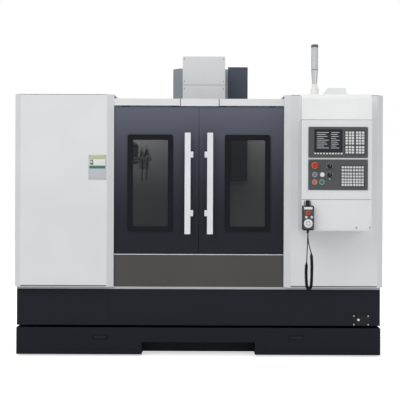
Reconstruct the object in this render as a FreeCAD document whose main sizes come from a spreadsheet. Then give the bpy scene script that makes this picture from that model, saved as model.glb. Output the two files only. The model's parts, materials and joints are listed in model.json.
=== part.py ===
import FreeCAD, Part
import math
import os
import Sketcher
from FreeCAD import Rotation, Vector

# Vertical machining centre with a full enclosure. Millimetres, +Z up, -Y is the operator's side.
# Origin: on the floor, below the centre of the machine's bounding box.

os.makedirs("parts", exist_ok=True)
doc = FreeCAD.newDocument("machining_center")


# ---------------------------------------------------------------- sizes

SIZES = {
    # overall
    "overall_width": 2700,
    "cabinet_front": -935,
    "door_front": -885,
    "machine_rear": 1235,
    "cabinet_top": 1917,
    "sheet": 3,
    # base
    "foot_height": 60,
    "pad_radius": 50,
    "pad_thick": 25,
    "screw_radius": 18,
    "skirt_inset": 15,
    "skirt_low": 224,
    "skirt_high": 490,
    "pan_thick": 18,
    "chute_half": 300,
    "panel_high": 738,
    "sill_thick": 9,
    "bed_half": 460,
    "bed_waist": 380,
    "bed_front": -640,
    "bed_nose": -800,
    "bed_top": 600,
    "pad_high": 12,
    "bed_wall": 120,
    "bed_rear": 935,
    # coolant tank
    "tank_low": 12,
    "tank_high": 209,
    "tank_wall": 4,
    "tank_room": 15,
    "tank_front": -900,
    "tank_back": 150,
    "notch_half": 416,
    "notch_high": 103,
    "notch_deep": 140,
    # enclosure front
    "cabinet_inner": 623,
    "bevel": 48,
    "door_low": 750,
    "door_high": 1830,
    "door_thick": 45,
    "door_overlap": 22,
    "door_split": 4,
    "header_low": 1835,
    "header_high": 1889,
    "header_panel_half": 136,
    "window_x": 358,
    "window_low": 913,
    "window_high": 1625,
    "frame_width": 334,
    "frame_band": 37,
    "frame_radius": 16,
    "glass_radius": 10,
    "frame_proud": 8,
    "glass_thick": 8,
    "handle_x": 82,
    "handle_width": 43,
    "handle_low": 897,
    "handle_high": 1637,
    "handle_reach": 58,
    "handle_bar": 9,
    "standoff": 44,
    # operator box
    "operator_left": 723,
    "operator_right": 1215,
    "operator_low": 934,
    "operator_high": 1898,
    "operator_depth": 250,
    "operator_seam": 1158,
    "hood_seam": 1714,
    "hood_chamfer": 34,
    "unit_left": 769,
    "unit_right": 1186,
    "unit_proud": 5,
    "controller_low": 1448,
    "controller_high": 1665,
    "panel_low": 1222,
    "panel_top": 1437,
    "key_proud": 2,
    # operator controls
    "stop_radius": 20,
    "stop_reach": 32,
    "button_radius": 14,
    "button_reach": 9,
    "rotary_radius": 15,
    "rotary_reach": 18,
    "shaft_radius": 4,
    "bore_clearance": 0.06,
    # signal lamp and duct
    "lamp_x": 825,
    "lamp_radius": 26,
    "lamp_top": 2263,
    "duct_left": 888,
    "duct_right": 1083,
    "duct_high": 53,
    # pendant
    "pendant_x": 765,
    "pendant_half": 40,
    "pendant_low": 941,
    "pendant_high": 1113,
    "pendant_thick": 34,
    "pendant_hook_high": 1154,
    "wheel_radius": 29,
    "wheel_z": 989,
    # machine inside
    "spindle_y": -85,
    "column_half": 245,
    "column_front": 465,
    "column_top": 2300,
    "column_wall": 30,
    "column_chamfer": 65,
    "rail_width": 35,
    "rail_height": 32,
    "rail_gap": 0.3,
    "y_rail_x": 300,
    "z_rail_x": 110,
    "saddle_half_x": 565,
    "saddle_half_y": 230,
    "saddle_thick": 110,
    "x_rail_y": 150,
    "table_half_x": 500,
    "table_half_y": 250,
    "table_thick": 80,
    "table_lift": 62,
    "slot_width": 18,
    "slot_pitch": 100,
    "nose_z": 1490,
    "nose_radius": 64,
    "nose_length": 130,
    "head_half": 130,
    "head_tall": 430,
    "head_front": -270,
    "cover_left": 138,
    "cover_right": 203,
    "cover_front": -300,
    "cover_top": 2290,
    # tool magazine
    "carousel_x": -680,
    "pocket_circle": 270,
    "pocket_count": 16,
    "tool_flange": 31.5,
    # electrical cabinet
    "locker_half": 450,
    "locker_low": 640,
    "locker_high": 1840,
    "locker_door": 26,
    "pivot_radius": 3,
    "pivot_sleeve": 6,
    "pivot_reach": 15,
    # cable tray
    "tray_width": 177,
    "tray_depth": 50,
}


class Size:
    """A length that carries its number and the spreadsheet expression that gives it."""

    def __init__(self, number, text):
        self.number = number
        self.text = text

    def __add__(self, other):
        other = as_size(other)
        return Size(self.number + other.number, f"({self.text} + {other.text})")

    def __sub__(self, other):
        other = as_size(other)
        return Size(self.number - other.number, f"({self.text} - {other.text})")

    def __mul__(self, other):
        other = as_size(other)
        return Size(self.number * other.number, f"({self.text} * {other.text})")

    def __truediv__(self, other):
        other = as_size(other)
        return Size(self.number / other.number, f"({self.text} / {other.text})")

    def __neg__(self):
        return as_size(0) - self

    def __radd__(self, other):
        return as_size(other) + self

    def __rsub__(self, other):
        return as_size(other) - self

    def __rmul__(self, other):
        return as_size(other) * self


def as_size(value):
    """Wrap a plain number, so that numbers and sizes can be mixed."""
    return value if isinstance(value, Size) else Size(float(value), f"({float(value)})")


class Sheet:
    """The spreadsheet of driving sizes, read as attributes: d.overall_width."""

    def __init__(self, sizes):
        self.cells = doc.addObject("Spreadsheet::Sheet", "sizes")
        for row, (alias, value) in enumerate(sizes.items(), start=1):
            self.cells.set(f"A{row}", alias.replace("_", " "))
            self.cells.set(f"B{row}", str(value))
            self.cells.setAlias(f"B{row}", alias)
        doc.recompute()

    def __getattr__(self, alias):
        return Size(float(self.cells.get(alias)), f"sizes.{alias}")


d = Sheet(SIZES)
SUBPARTS = []
AXES = {"x": Vector(1, 0, 0), "y": Vector(0, 1, 0), "z": Vector(0, 0, 1)}


# ---------------------------------------------------------------- building blocks


def bind(obj, **sizes):
    """Bind properties of an object to sizes."""
    for name, value in sizes.items():
        obj.setExpression(name, as_size(value).text)


def place(obj, at, rotation=None):
    """Set an object's placement: a fixed rotation and a base bound to sizes."""
    if rotation is not None:
        obj.Placement.Rotation = rotation
    for axis, value in zip("xyz", at):
        obj.setExpression(f"Placement.Base.{axis}", as_size(value).text)
    return obj


def part(label, obj):
    """Name a finished sub-part and keep it for writing."""
    obj.Label = label
    SUBPARTS.append(obj)
    return obj


def box(low, high):
    """A box between two corners."""
    obj = doc.addObject("Part::Box", "Box")
    length, width, height = [as_size(b) - a for a, b in zip(low, high)]
    bind(obj, Length=length, Width=width, Height=height)
    return place(obj, low)


def cylinder(at, radius, length, axis="z"):
    """A cylinder from a point along an axis."""
    obj = doc.addObject("Part::Cylinder", "Cylinder")
    bind(obj, Radius=radius, Height=length)
    return place(obj, at, Rotation(AXES["z"], AXES[axis]))


def cone(at, low_radius, high_radius, length, axis="z"):
    """A cone from a point along an axis."""
    obj = doc.addObject("Part::Cone", "Cone")
    bind(obj, Radius1=low_radius, Radius2=high_radius, Height=length)
    return place(obj, at, Rotation(AXES["z"], AXES[axis]))


def fuse(*shapes):
    """The union of several shapes."""
    if len(shapes) == 1:
        return shapes[0]
    obj = doc.addObject("Part::MultiFuse", "Fuse")
    obj.Shapes = list(shapes)
    obj.Refine = True
    return obj


def cut(base, *tools):
    """A shape with the tools taken away."""
    obj = doc.addObject("Part::Cut", "Cut")
    obj.Base = base
    obj.Tool = fuse(*tools)
    return obj


def group(*shapes):
    """Separate solids that make one sub-part."""
    obj = doc.addObject("Part::Compound", "Group")
    obj.Links = list(shapes)
    return obj


def new_body(name, axis, offset):
    """A PartDesign body moved along one axis, so that its origin plane lies at the offset."""
    body = doc.addObject("PartDesign::Body", name)
    return place(body, [offset if key == axis else 0 for key in "xyz"])


PLANES = {"z": "XY_Plane", "y": "XZ_Plane", "x": "YZ_Plane"}


def new_sketch(body, axis, name="Outline"):
    """A sketch on the body's own origin plane across the axis."""
    sketch = body.newObject("Sketcher::SketchObject", name)
    plane = [f for f in body.Origin.OriginFeatures if f.Role == PLANES[axis]][0]
    sketch.AttachmentSupport = (plane, [""])
    sketch.MapMode = "FlatFace"
    return sketch


def add_loop(sketch, points, radius=None):
    """Draw a closed outline through points, each bound to its sizes, with optional rounded corners."""
    points = [(as_size(u), as_size(v)) for u, v in points]
    corners = []
    for index, here in enumerate(points):
        if radius is None:
            corners.append([here])
            continue
        ends = []
        for other in (points[index - 1], points[(index + 1) % len(points)]):
            du = other[0].number - here[0].number
            dv = other[1].number - here[1].number
            length = math.hypot(du, dv)
            ends.append((here[0] + as_size(radius) * (du / length), here[1] + as_size(radius) * (dv / length)))
        corners.append(ends)
    first = sketch.GeometryCount
    flat = [end for ends in corners for end in ends]
    vectors = [Vector(u.number, v.number, 0) for u, v in flat]
    step = 1 if radius is None else 2
    start = 0 if radius is None else 1
    lines = list(range(start, len(vectors), step))
    for index in lines:
        sketch.addGeometry(Part.LineSegment(vectors[index], vectors[(index + 1) % len(vectors)]))
    rules = []
    bound = []
    for count, index in enumerate(lines):
        line = first + count
        for kind, value in zip(("DistanceX", "DistanceY"), flat[index]):
            bound.append((len(rules), value))
            rules.append(Sketcher.Constraint(kind, -1, 1, line, 1, value.number))
        if radius is None:
            following = first + (count + 1) % len(lines)
            rules.append(Sketcher.Constraint("Coincident", line, 2, following, 1))
            continue
        for kind, value in zip(("DistanceX", "DistanceY"), flat[(index + 1) % len(flat)]):
            bound.append((len(rules), value))
            rules.append(Sketcher.Constraint(kind, -1, 1, line, 2, value.number))
    if radius is not None:
        add_corner_arcs(sketch, first, points, flat, as_size(radius), rules, bound)
    base = sketch.ConstraintCount
    sketch.addConstraint(rules)
    for offset, value in bound:
        name = f"size{base + offset}"
        sketch.renameConstraint(base + offset, name)
        sketch.setExpression(f"Constraints.{name}", value.text)


def add_corner_arcs(sketch, first, points, flat, radius, rules, bound):
    """Join the lines of a rectangular outline with arcs, each tied to its two ends and its radius."""
    count = len(points)
    for corner in range(count):
        ends = [flat[2 * corner], flat[2 * corner + 1]]
        start, end = [Vector(u.number, v.number, 0) for u, v in ends]
        here = Vector(points[corner][0].number, points[corner][1].number, 0)
        centre = start + end - here
        middle = centre + (here - centre).normalize() * radius.number
        arc = sketch.addGeometry(Part.Arc(start, middle, end))
        geometry = sketch.Geometry[arc]
        begins = 1 if geometry.StartPoint.distanceToPoint(start) < 0.001 else 2
        before = first + (corner - 1) % count
        after = first + corner
        rules.append(Sketcher.Constraint("Coincident", before, 2, arc, begins))
        rules.append(Sketcher.Constraint("Coincident", after, 1, arc, 3 - begins))
        bound.append((len(rules), radius))
        rules.append(Sketcher.Constraint("Radius", arc, radius.number))


def add_circle(sketch, centre, radius):
    """Draw a circle whose centre and radius are bound to sizes."""
    u, v, radius = [as_size(value) for value in (*centre, radius)]
    circle = sketch.addGeometry(Part.Circle(Vector(u.number, v.number, 0), Vector(0, 0, 1), radius.number))
    base = sketch.ConstraintCount
    rules = [
        Sketcher.Constraint("DistanceX", -1, 1, circle, 3, u.number),
        Sketcher.Constraint("DistanceY", -1, 1, circle, 3, v.number),
        Sketcher.Constraint("Radius", circle, radius.number),
    ]
    sketch.addConstraint(rules)
    for offset, value in enumerate((u, v, radius)):
        name = f"size{base + offset}"
        sketch.renameConstraint(base + offset, name)
        sketch.setExpression(f"Constraints.{name}", value.text)


def rectangle(low, high):
    """The four corners of a rectangle, anticlockwise."""
    return [(low[0], low[1]), (high[0], low[1]), (high[0], high[1]), (low[0], high[1])]


def pad(name, axis, low, high, draw):
    """A body padded along an axis between two places; draw(sketch) draws its outline."""
    start = high if axis == "y" else low
    body = new_body(name, axis, start)
    sketch = new_sketch(body, axis)
    draw(sketch)
    feature = body.newObject("PartDesign::Pad", "Pad")
    feature.Profile = sketch
    bind(feature, Length=as_size(high) - low)
    body.Tip = feature
    return body


def plate(name, axis, low, high, outline, holes=(), radius=None):
    """A padded plate with a straight or round-cornered outline and rectangular or round holes."""

    def draw(sketch):
        add_loop(sketch, outline, radius)
        for hole in holes:
            if len(hole) == 2:
                add_circle(sketch, *hole)
            else:
                add_loop(sketch, hole[0], hole[2])

    return pad(name, axis, low, high, draw)


def mirrored(low, high):
    """The box between two corners and its twin across X = 0."""
    twin_low = (-as_size(high[0]), low[1], low[2])
    twin_high = (-as_size(low[0]), high[1], high[2])
    return [box(low, high), box(twin_low, twin_high)]


half = d.overall_width / 2
door_rear = d.door_front + d.door_thick
rear_wall = d.column_front + 135
pan_top = d.skirt_high + d.pan_thick
rail_top = d.bed_top + d.rail_height
saddle_low = rail_top - 14
saddle_high = saddle_low + d.saddle_thick
table_low = saddle_high + d.table_lift
table_top = table_low + d.table_thick


# ---------------------------------------------------------------- base and castings


def build_bed():
    """The cast bed: a wide foot, a ledge for the chip pan, a waist, a nose and two rail pads."""
    foot = box((-d.bed_half, d.bed_front, d.foot_height), (d.bed_half, d.bed_rear, d.skirt_high))
    waist = box((-d.bed_waist, d.bed_nose, d.skirt_high), (d.bed_waist, d.bed_rear, d.bed_top - d.pad_high))
    pads = mirrored(
        (d.y_rail_x - 45, d.bed_nose + 20, d.bed_top - d.pad_high), (d.y_rail_x + 45, d.column_front - 5, d.bed_top)
    )
    seat = box((-d.bed_waist, d.column_front - 5, d.bed_top - d.pad_high), (d.bed_waist, d.bed_rear, d.bed_top))
    core = box(
        (-d.bed_half + d.bed_wall, d.bed_front + d.bed_wall, d.foot_height),
        (d.bed_half - d.bed_wall, d.bed_rear - d.bed_wall, d.skirt_high - 110),
    )
    trough = box((-d.y_rail_x + 70, d.bed_nose, d.bed_top - 50), (d.y_rail_x - 70, d.column_front - 5, d.bed_top))
    return part("bed", cut(fuse(foot, waist, *pads, seat), core, trough))


def build_feet():
    """Six levelling feet: a pad on the floor and a screw up into the bed."""
    feet = []
    for x in (-d.bed_half + 60, d.bed_half - 60):
        for y in (d.bed_front + 60, as_size(150), d.bed_rear - 60):
            feet.append(cylinder((x, y, 0), d.pad_radius, d.pad_thick))
            feet.append(cylinder((x, y, d.pad_thick), d.screw_radius, d.foot_height - d.pad_thick))
    feet = [fuse(feet[index], feet[index + 1]) for index in range(0, len(feet), 2)]
    return part("levelling_feet", group(*feet))


def build_column():
    """The cast column: chamfered front corners, hollow, with rail pads and an open back."""
    c = d.column_chamfer
    outline = [
        (-d.column_half, d.bed_rear),
        (-d.column_half, d.column_front + c),
        (-d.column_half + c, d.column_front),
        (d.column_half - c, d.column_front),
        (d.column_half, d.column_front + c),
        (d.column_half, d.bed_rear),
    ]
    shell = plate("ColumnShell", "z", d.bed_top, d.column_top, outline)
    pads = mirrored(
        (d.z_rail_x - 28, d.column_front - d.pad_high, d.nose_z - 480), (d.z_rail_x + 28, d.column_front + 1, d.column_top)
    )
    w = d.column_wall
    low = (-d.column_half + w, d.column_front + w + 40, d.bed_top + 120)
    high = (d.column_half - w, d.bed_rear - w, d.column_top - 60)
    window = box((-150, d.bed_rear - w - 5, d.bed_top + 200), (150, d.bed_rear + 5, d.column_top - 200))
    return part("column", cut(fuse(shell, *pads), box(low, high), window))


def build_rails():
    """Six profile rails: two along Y on the bed, two along X on the saddle's body and two up the column."""
    w = d.rail_width / 2
    y_rails = mirrored(
        (d.y_rail_x - w, d.bed_nose + 30, d.bed_top), (d.y_rail_x + w, d.column_front - 10, rail_top)
    )
    z_front = d.column_front - d.pad_high
    z_rails = mirrored(
        (d.z_rail_x - w, z_front - d.rail_height, d.nose_z - 470), (d.z_rail_x + w, z_front, d.column_top - 10)
    )
    return part("linear_rails", group(*y_rails, *z_rails))


def build_skirt():
    """The dark upper skirt: a bent sheet round the front and both sides."""
    x = half - d.skirt_inset
    front = d.door_front
    outer = box((-x, front, d.skirt_low), (x, rear_wall, d.skirt_high))
    inner = box(
        (-x + d.sheet, front + d.sheet, d.skirt_low - 1), (x - d.sheet, rear_wall + 1, d.skirt_high + 1)
    )
    return part("base_skirt", cut(outer, inner))


def build_pan():
    """The chip pan: a deep tray round the bed's waist that carries the enclosure."""
    x = half - d.skirt_inset
    slab = box((-x, d.door_front, d.skirt_high), (x, rear_wall, pan_top))
    hole = box((-d.bed_waist - 1, d.bed_nose - 1, d.skirt_high - 1), (d.bed_waist + 1, rear_wall + 1, pan_top + 1))
    chute = box(
        (-d.chute_half, d.door_front + 10, d.skirt_high - 1), (d.chute_half, d.bed_nose - 10, pan_top + 1)
    )
    return part("chip_pan", cut(slab, hole, chute))


def build_tank():
    """The coolant tank: a welded tub in the shape of a U that slides out between the feet."""
    x = half - d.skirt_inset
    wall = d.tank_wall
    arm = d.bed_half + 2 * d.tank_room
    outer = box((-x, d.tank_front, d.tank_low), (x, d.tank_back, d.tank_high))
    gap = box((-arm, d.bed_front - d.tank_room, 0), (arm, d.tank_back + 1, d.tank_high + 1))
    tub_front = box(
        (-x + wall, d.tank_front + wall, d.notch_high + wall), (x - wall, d.bed_front - d.tank_room - wall, d.tank_high + 1)
    )
    arms = mirrored(
        (arm + wall, d.tank_front + wall, d.tank_low + wall), (x - wall, d.tank_back - wall, d.tank_high + 1)
    )
    notch = box(
        (-d.notch_half, d.tank_front - 1, 0), (d.notch_half, d.tank_front + d.notch_deep, d.notch_high)
    )
    foot_x = (-x + 120, x - 120)
    feet = [
        cylinder((fx, fy, 0), 28, d.tank_low)
        for fx in foot_x
        for fy in (d.tank_front + 90, d.tank_back - 90)
    ]
    return part("coolant_tank", fuse(cut(outer, gap, tub_front, *arms, notch), *feet))


# ---------------------------------------------------------------- enclosure


def build_lower_panel():
    """The brown-grey panel below the doors, folded back over its top as the door sill."""
    x = d.cabinet_inner + 30
    front = d.door_front
    sheet = box((-x, front, pan_top), (x, front + d.sheet, d.panel_high))
    sill = box((-x, front - 0.5, d.panel_high), (x, door_rear + 8, d.panel_high + d.sill_thick))
    return part("lower_front_panel", fuse(sheet, sill))


def cabinet_outline(side):
    """The plan of a front cabinet sheet: inner return, bevel, flat front, bevel and side wall."""
    t = d.sheet
    b = d.bevel
    inner, outer = d.cabinet_inner, half
    front, fold = d.cabinet_front, d.door_front - 2
    inner_fold = d.door_front - d.frame_proud - 3
    points = [
        (inner, inner_fold),
        (inner + b, front),
        (outer - b, front),
        (outer, fold),
        (outer, rear_wall),
        (outer - t, rear_wall),
        (outer - t, fold + 1),
        (outer - b - 1, front + t),
        (inner + b + 1, front + t),
        (inner + 4, inner_fold + 1),
    ]
    return [(side * u, v) for u, v in points]


def build_cabinets():
    """The two white cabinets: one bent sheet each, with a top plate let in."""
    for side, label in ((-1, "left_cabinet"), (1, "right_cabinet")):
        wall = plate(label + "_wall", "z", pan_top, d.cabinet_top - d.sheet, cabinet_outline(side))
        b = d.bevel
        lid_points = [
            (d.cabinet_inner, d.door_front - d.frame_proud - 3),
            (d.cabinet_inner + b, d.cabinet_front),
            (half - b, d.cabinet_front),
            (half, d.door_front - 2),
            (half, -600),
            (d.cabinet_inner, -600),
        ]
        lid = plate(label + "_lid", "z", d.cabinet_top - d.sheet, d.cabinet_top, [(side * u, v) for u, v in lid_points])
        part(label, fuse(wall, lid))


def build_rear_panels():
    """The rear sheets of the enclosure, one on each side of the column."""
    low = (d.column_half + 6, rear_wall - d.sheet, pan_top)
    high = (half - d.sheet, rear_wall, d.cabinet_top - 40)
    waist = d.bed_waist + 1
    notch = box((-waist, rear_wall - d.sheet - 1, pan_top - 1), (waist, rear_wall + 1, d.bed_top + 1))
    return part("rear_panels", group(*[cut(sheet, notch) for sheet in mirrored(low, high)]))


def build_header():
    """The header beam over the doors, with its raised centre cover between two seams."""
    x = d.cabinet_inner - 0.3
    front = d.door_front - 12
    beam = box((-x, front, d.header_low), (x, door_rear + 60, d.header_high))
    hollow = box((-x - 1, front + d.sheet, d.header_low - 1), (x + 1, door_rear + 57, d.header_high - d.sheet))
    seam = d.header_panel_half
    cover = box((-seam, front - 3, d.header_low), (seam + 10, front, d.header_high))
    rail_x = half - d.sheet
    rail_y = door_rear + 9
    rail = box((-rail_x, rail_y, d.door_high + 6), (rail_x, rail_y + 12, d.door_high + 44))
    shelf = box((-rail_x, rail_y, d.door_high + 44), (rail_x, door_rear + 57, d.door_high + 50))
    return part("header", fuse(cut(beam, hollow), cover, rail, shelf))


# ---------------------------------------------------------------- doors


def door_side(side, points):
    """Mirror an outline for the left door, keeping it anticlockwise."""
    if side > 0:
        return points
    return [(-as_size(u), v) for u, v in reversed(points)]


def build_door(side, name):
    """One sliding door: panel, window frame, glass and handle."""
    front = d.door_front
    inner = d.door_split / 2
    outer = d.cabinet_inner + d.door_overlap
    band = d.frame_band
    window = rectangle((d.window_x - d.frame_width / 2, d.window_low), (d.window_x + d.frame_width / 2, d.window_high))
    opening = rectangle(
        (d.window_x - d.frame_width / 2 + band, d.window_low + band),
        (d.window_x + d.frame_width / 2 - band, d.window_high - band),
    )
    window, opening = door_side(side, window), door_side(side, opening)
    inner_radius = d.glass_radius
    slab = plate(
        name + "_slab", "y", front, front + d.door_thick,
        door_side(side, rectangle((inner, d.door_low), (outer, d.door_high))),
        holes=[(opening, None, inner_radius)],
    )
    well = box_side(
        side, (inner + 3, front + 3, d.door_low + 3), (d.window_x - d.frame_width / 2 - 6, door_rear + 1, d.door_high - 3)
    )
    well_two = box_side(
        side, (d.window_x + d.frame_width / 2 + 6, front + 3, d.door_low + 3), (outer - 3, door_rear + 1, d.door_high - 3)
    )
    hangers = []
    for x in (d.window_x - 180, d.window_x + 180):
        hangers.append(
            box_side(side, (x - 25, door_rear, d.door_high - 60), (x + 25, door_rear + 9 - d.rail_gap, d.door_high + 30))
        )
    part(name + "_door", fuse(cut(slab, well, well_two), *hangers))
    part(
        name + "_window_frame",
        plate(name + "_frame", "y", front - d.frame_proud, front, window, [(opening, None, inner_radius)], d.frame_radius),
    )
    part(
        name + "_window",
        plate(name + "_pane", "y", front, front + d.glass_thick, opening, (), inner_radius),
    )
    low_x, high_x = d.handle_x - d.handle_width / 2, d.handle_x + d.handle_width / 2
    reach = front - d.handle_reach
    bar = box_side(side, (low_x, reach, d.handle_low), (high_x, reach + d.handle_bar, d.handle_high))
    posts = []
    for z in (d.handle_low + 153, d.handle_high - 159):
        low = (low_x - 19, reach + d.handle_bar, z - d.standoff / 2)
        high = (low_x + 26, front, z + d.standoff / 2)
        posts.append(box_side(side, low, high))
    part(name + "_handle", fuse(bar, *posts))


def box_side(side, low, high):
    """A box, or its twin across X = 0 when the side is -1."""
    if side > 0:
        return box(low, high)
    return box((-as_size(high[0]), low[1], low[2]), (-as_size(low[0]), high[1], high[2]))


# ---------------------------------------------------------------- axes inside


def build_saddle():
    """The saddle: runs along Y on four blocks and carries the two X rails."""
    y = d.spindle_y
    hx, hy = d.saddle_half_x, d.saddle_half_y
    gap = d.rail_gap
    body = box((-hx, y - hy, saddle_low), (hx, y + hy, saddle_high))
    w = d.rail_width / 2 + gap
    grooves = mirrored((d.y_rail_x - w, y - hy - 1, saddle_low - 1), (d.y_rail_x + w, y + hy + 1, rail_top + gap))
    relief = box((-d.y_rail_x + 60, y - hy - 1, saddle_low - 1), (d.y_rail_x - 60, y + hy + 1, saddle_low + 40))
    rails = []
    for centre in (y - d.x_rail_y, y + d.x_rail_y):
        low = (-hx, centre - d.rail_width / 2, saddle_high)
        rails.append(box(low, (hx, centre + d.rail_width / 2, saddle_high + d.rail_height)))
    return part("saddle", fuse(cut(body, *grooves, relief), *rails))


def build_table():
    """The work table: T-slots along X, a drain rim and four guide blocks under it."""
    y = d.spindle_y
    hx, hy = d.table_half_x, d.table_half_y
    slab = box((-hx, y - hy, table_low), (hx, y + hy, table_top))
    slots = []
    for step in range(-2, 3):
        centre = y + step * d.slot_pitch
        s = d.slot_width / 2
        slots.append(box((-hx - 1, centre - s, table_top - 28), (hx + 1, centre + s, table_top + 1)))
        slots.append(box((-hx - 1, centre - s - 6, table_top - 28), (hx + 1, centre + s + 6, table_top - 14)))
    blocks = []
    gap = d.rail_gap
    for centre in (y - d.x_rail_y, y + d.x_rail_y):
        for x in (-as_size(160), as_size(60)):
            low = (x, centre - 42, saddle_high + 6)
            block = box(low, (x + 100, centre + 42, table_low))
            w = d.rail_width / 2 + gap
            groove = box(
                (x - 1, centre - w, saddle_high + 5), (x + 101, centre + w, saddle_high + d.rail_height + gap)
            )
            blocks.append(cut(block, groove))
    return part("table", fuse(cut(slab, *slots), *blocks))


def build_head():
    """The spindle head: a casting on four guide blocks, its sheet cover and the spindle motor inside."""
    y = d.spindle_y
    low = d.nose_z + d.nose_length
    high = low + d.head_tall
    back = d.column_front - d.pad_high - d.rail_height - 4
    casting = box((-d.head_half, d.head_front, low), (d.head_half, back, high))
    bore = cylinder((0, y, low - 1), d.nose_radius + 3, 262)
    blocks = []
    w = d.rail_width / 2 + d.rail_gap
    for x in (-d.z_rail_x, d.z_rail_x):
        for z in (low + 20, high - 140):
            block = box((x - 24, back, z), (x + 24, d.column_front - 14, z + 120))
            front = d.column_front - d.pad_high - d.rail_height - d.rail_gap
            groove = box((x - w, front, z - 1), (x + w, d.column_front, z + 121))
            blocks.append(cut(block, groove))
    motor = fuse(
        box((-85, y - 85, high), (85, y + 85, d.cover_top - 40)),
        cylinder((0, y, d.cover_top - 40), 70, 30),
    )
    part("head", fuse(cut(casting, bore), *blocks, motor))
    t = d.sheet
    cover_low = low + 40
    left, right = -d.cover_left, d.cover_right
    outer = box((left, d.cover_front, cover_low), (right, back - 6, d.cover_top))
    inner = box((left + t, d.cover_front + t, cover_low - 1), (right - t, back + 1, d.cover_top - t))
    ribs = [
        box((near, d.spindle_y, low + 100), (far, d.spindle_y + 60, low + 140))
        for near, far in ((left + t, -d.head_half), (d.head_half, right - t))
    ]
    front_rib = box((-60, d.cover_front + t, low + 100), (60, d.head_front, low + 140))
    return part("head_cover", fuse(cut(outer, inner), *ribs, front_rib))


def build_spindle():
    """The rotating spindle: shaft, nose flange, 7/24 taper bore and two drive keys."""
    y = d.spindle_y
    low = d.nose_z
    housing_gap = 3
    nose = cone((0, y, low), d.nose_radius - 14, d.nose_radius, 40)
    shaft = cylinder((0, y, low + 40), d.nose_radius, 350)
    taper = cone((0, y, low - 0.01), 22.225, 12.5, 66)
    draw_bar = cylinder((0, y, low + 60), 12.5, 120)
    keys = mirrored((24, y - 8, low - 8), (40, y + 8, low + 2))
    tip = d.nose_radius + housing_gap
    collar = cylinder((0, y, low + d.nose_length - 3.3), tip + 12, 3)
    return part("spindle", fuse(cut(fuse(nose, shaft, collar), taper, draw_bar), *keys))


# ---------------------------------------------------------------- operator box


def turned(name, at, profile):
    """A body of revolution about Z: profile is a closed list of radius and height."""
    body = doc.addObject("PartDesign::Body", name)
    place(body, at)
    sketch = new_sketch(body, "y", "Profile")
    add_loop(sketch, profile)
    feature = body.newObject("PartDesign::Revolution", "Revolution")
    feature.Profile = sketch
    feature.ReferenceAxis = (sketch, ["V_Axis"])
    feature.Angle = 360
    body.Tip = feature
    return body


box_front = d.cabinet_front - d.operator_depth
panel_face = box_front - d.unit_proud
UNIT_BODY = 70
CONTROLS = {
    "panel_stop": (814, 1394),
    "grey_button": (814, 1330),
    "white_button": (866, 1330),
    "orange_button": (813, 1278),
    "green_button": (864, 1278),
    "feed_switch": (919, 1389),
    "speed_switch": (918, 1328),
}
PANEL_COLUMNS = (1010, 1030, 1050, 1069, 1090, 1110, 1129, 1149)
PANEL_ROWS = (1382, 1361, 1338, 1318, 1296, 1277, 1258)
KEY_COLUMNS = (1037, 1060, 1081, 1110, 1131, 1152)
KEY_ROWS = (1625.5, 1606, 1587, 1568, 1549, 1524, 1505, 1486)
SCREEN = ((816, 1494), (1001, 1642))
SOFTKEYS = [816 + 20.5 * step for step in range(10)]
SOFTKEY_Z = 1478


def build_operator_box():
    """The operator box: a sheet housing open at the back, with two unit openings and the pendant's bracket."""
    left, right, t = d.operator_left, d.operator_right, d.sheet
    outer = box((left, box_front, d.operator_low), (right, d.cabinet_front, d.hood_seam))
    inner = box((left + t, box_front + t, d.operator_low + t), (right - t, d.cabinet_front + 1, d.hood_seam - t))
    holes = []
    for low, high in ((d.controller_low, d.controller_high), (d.panel_low, d.panel_top)):
        a, b = rectangle((d.unit_left + 8, low + 8), (d.unit_right - 8, high - 8))[0::2]
        holes.append(box((a[0], box_front - 1, a[1]), (b[0], box_front + t + 1, b[1])))
    service = box((left + 20, box_front - 1, d.operator_low + 18), (right - 20, box_front + t + 1, d.operator_seam - 16))
    bracket = box((d.pendant_x - 18, box_front - 8, 1020), (d.pendant_x + 18, box_front, d.pendant_hook_high))
    part("operator_box", fuse(cut(outer, inner, *holes, service), bracket))
    cover = box((left + 1, box_front - t, d.operator_low + 4), (right - 1, box_front, d.operator_seam - 3))
    step = box((left + 1, box_front - t - 5, d.operator_low + 4), (right - 1, box_front - t, d.operator_low + 9))
    notch = box(
        (d.pendant_x - 24, box_front - t - 6, 1000), (d.pendant_x + 24, box_front + 1, d.operator_seam)
    )
    screws = [cylinder((x, box_front - t - 2, 959), 5, 2, "y") for x in (1106, 1200)]
    part("service_cover", fuse(cut(fuse(cover, step), notch), *screws))


def build_hood():
    """The sloped top hood of the operator box."""
    c, t = d.hood_chamfer, d.sheet
    low, high, back = d.hood_seam, d.operator_high, d.cabinet_front
    outer = [(box_front, low + 2), (back, low + 2), (back, high), (box_front + c, high), (box_front, high - c)]
    inner = [
        (box_front + t, low + 1),
        (back + 1, low + 1),
        (back + 1, high - t),
        (box_front + c + 1, high - t),
        (box_front + t, high - c - 1),
    ]
    shell = plate("HoodShell", "x", d.operator_left, d.operator_right, outer)
    hollow = plate("HoodHollow", "x", d.operator_left + t, d.operator_right - t, inner)
    rim = box((d.operator_left + 4, box_front + 4, low), (d.operator_right - 4, d.cabinet_front, low + 3))
    part("operator_hood", fuse(cut(shell, hollow), rim))


def key_blocks(columns, rows, width, height, back, front):
    """A grid of moulded keys."""
    keys = []
    for x in columns:
        for z in rows:
            keys.append(box((x - width / 2, front, z - height / 2), (x + width / 2, back, z + height / 2)))
    return keys


def unit_block(low, high):
    """A panel unit: a face flange in front of the sheet and a body behind it."""
    flange = box((d.unit_left, panel_face, low), (d.unit_right, box_front, high))
    body = box((d.unit_left + 10, box_front, low + 10), (d.unit_right - 10, box_front + UNIT_BODY, high - 10))
    return fuse(flange, body)


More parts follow.
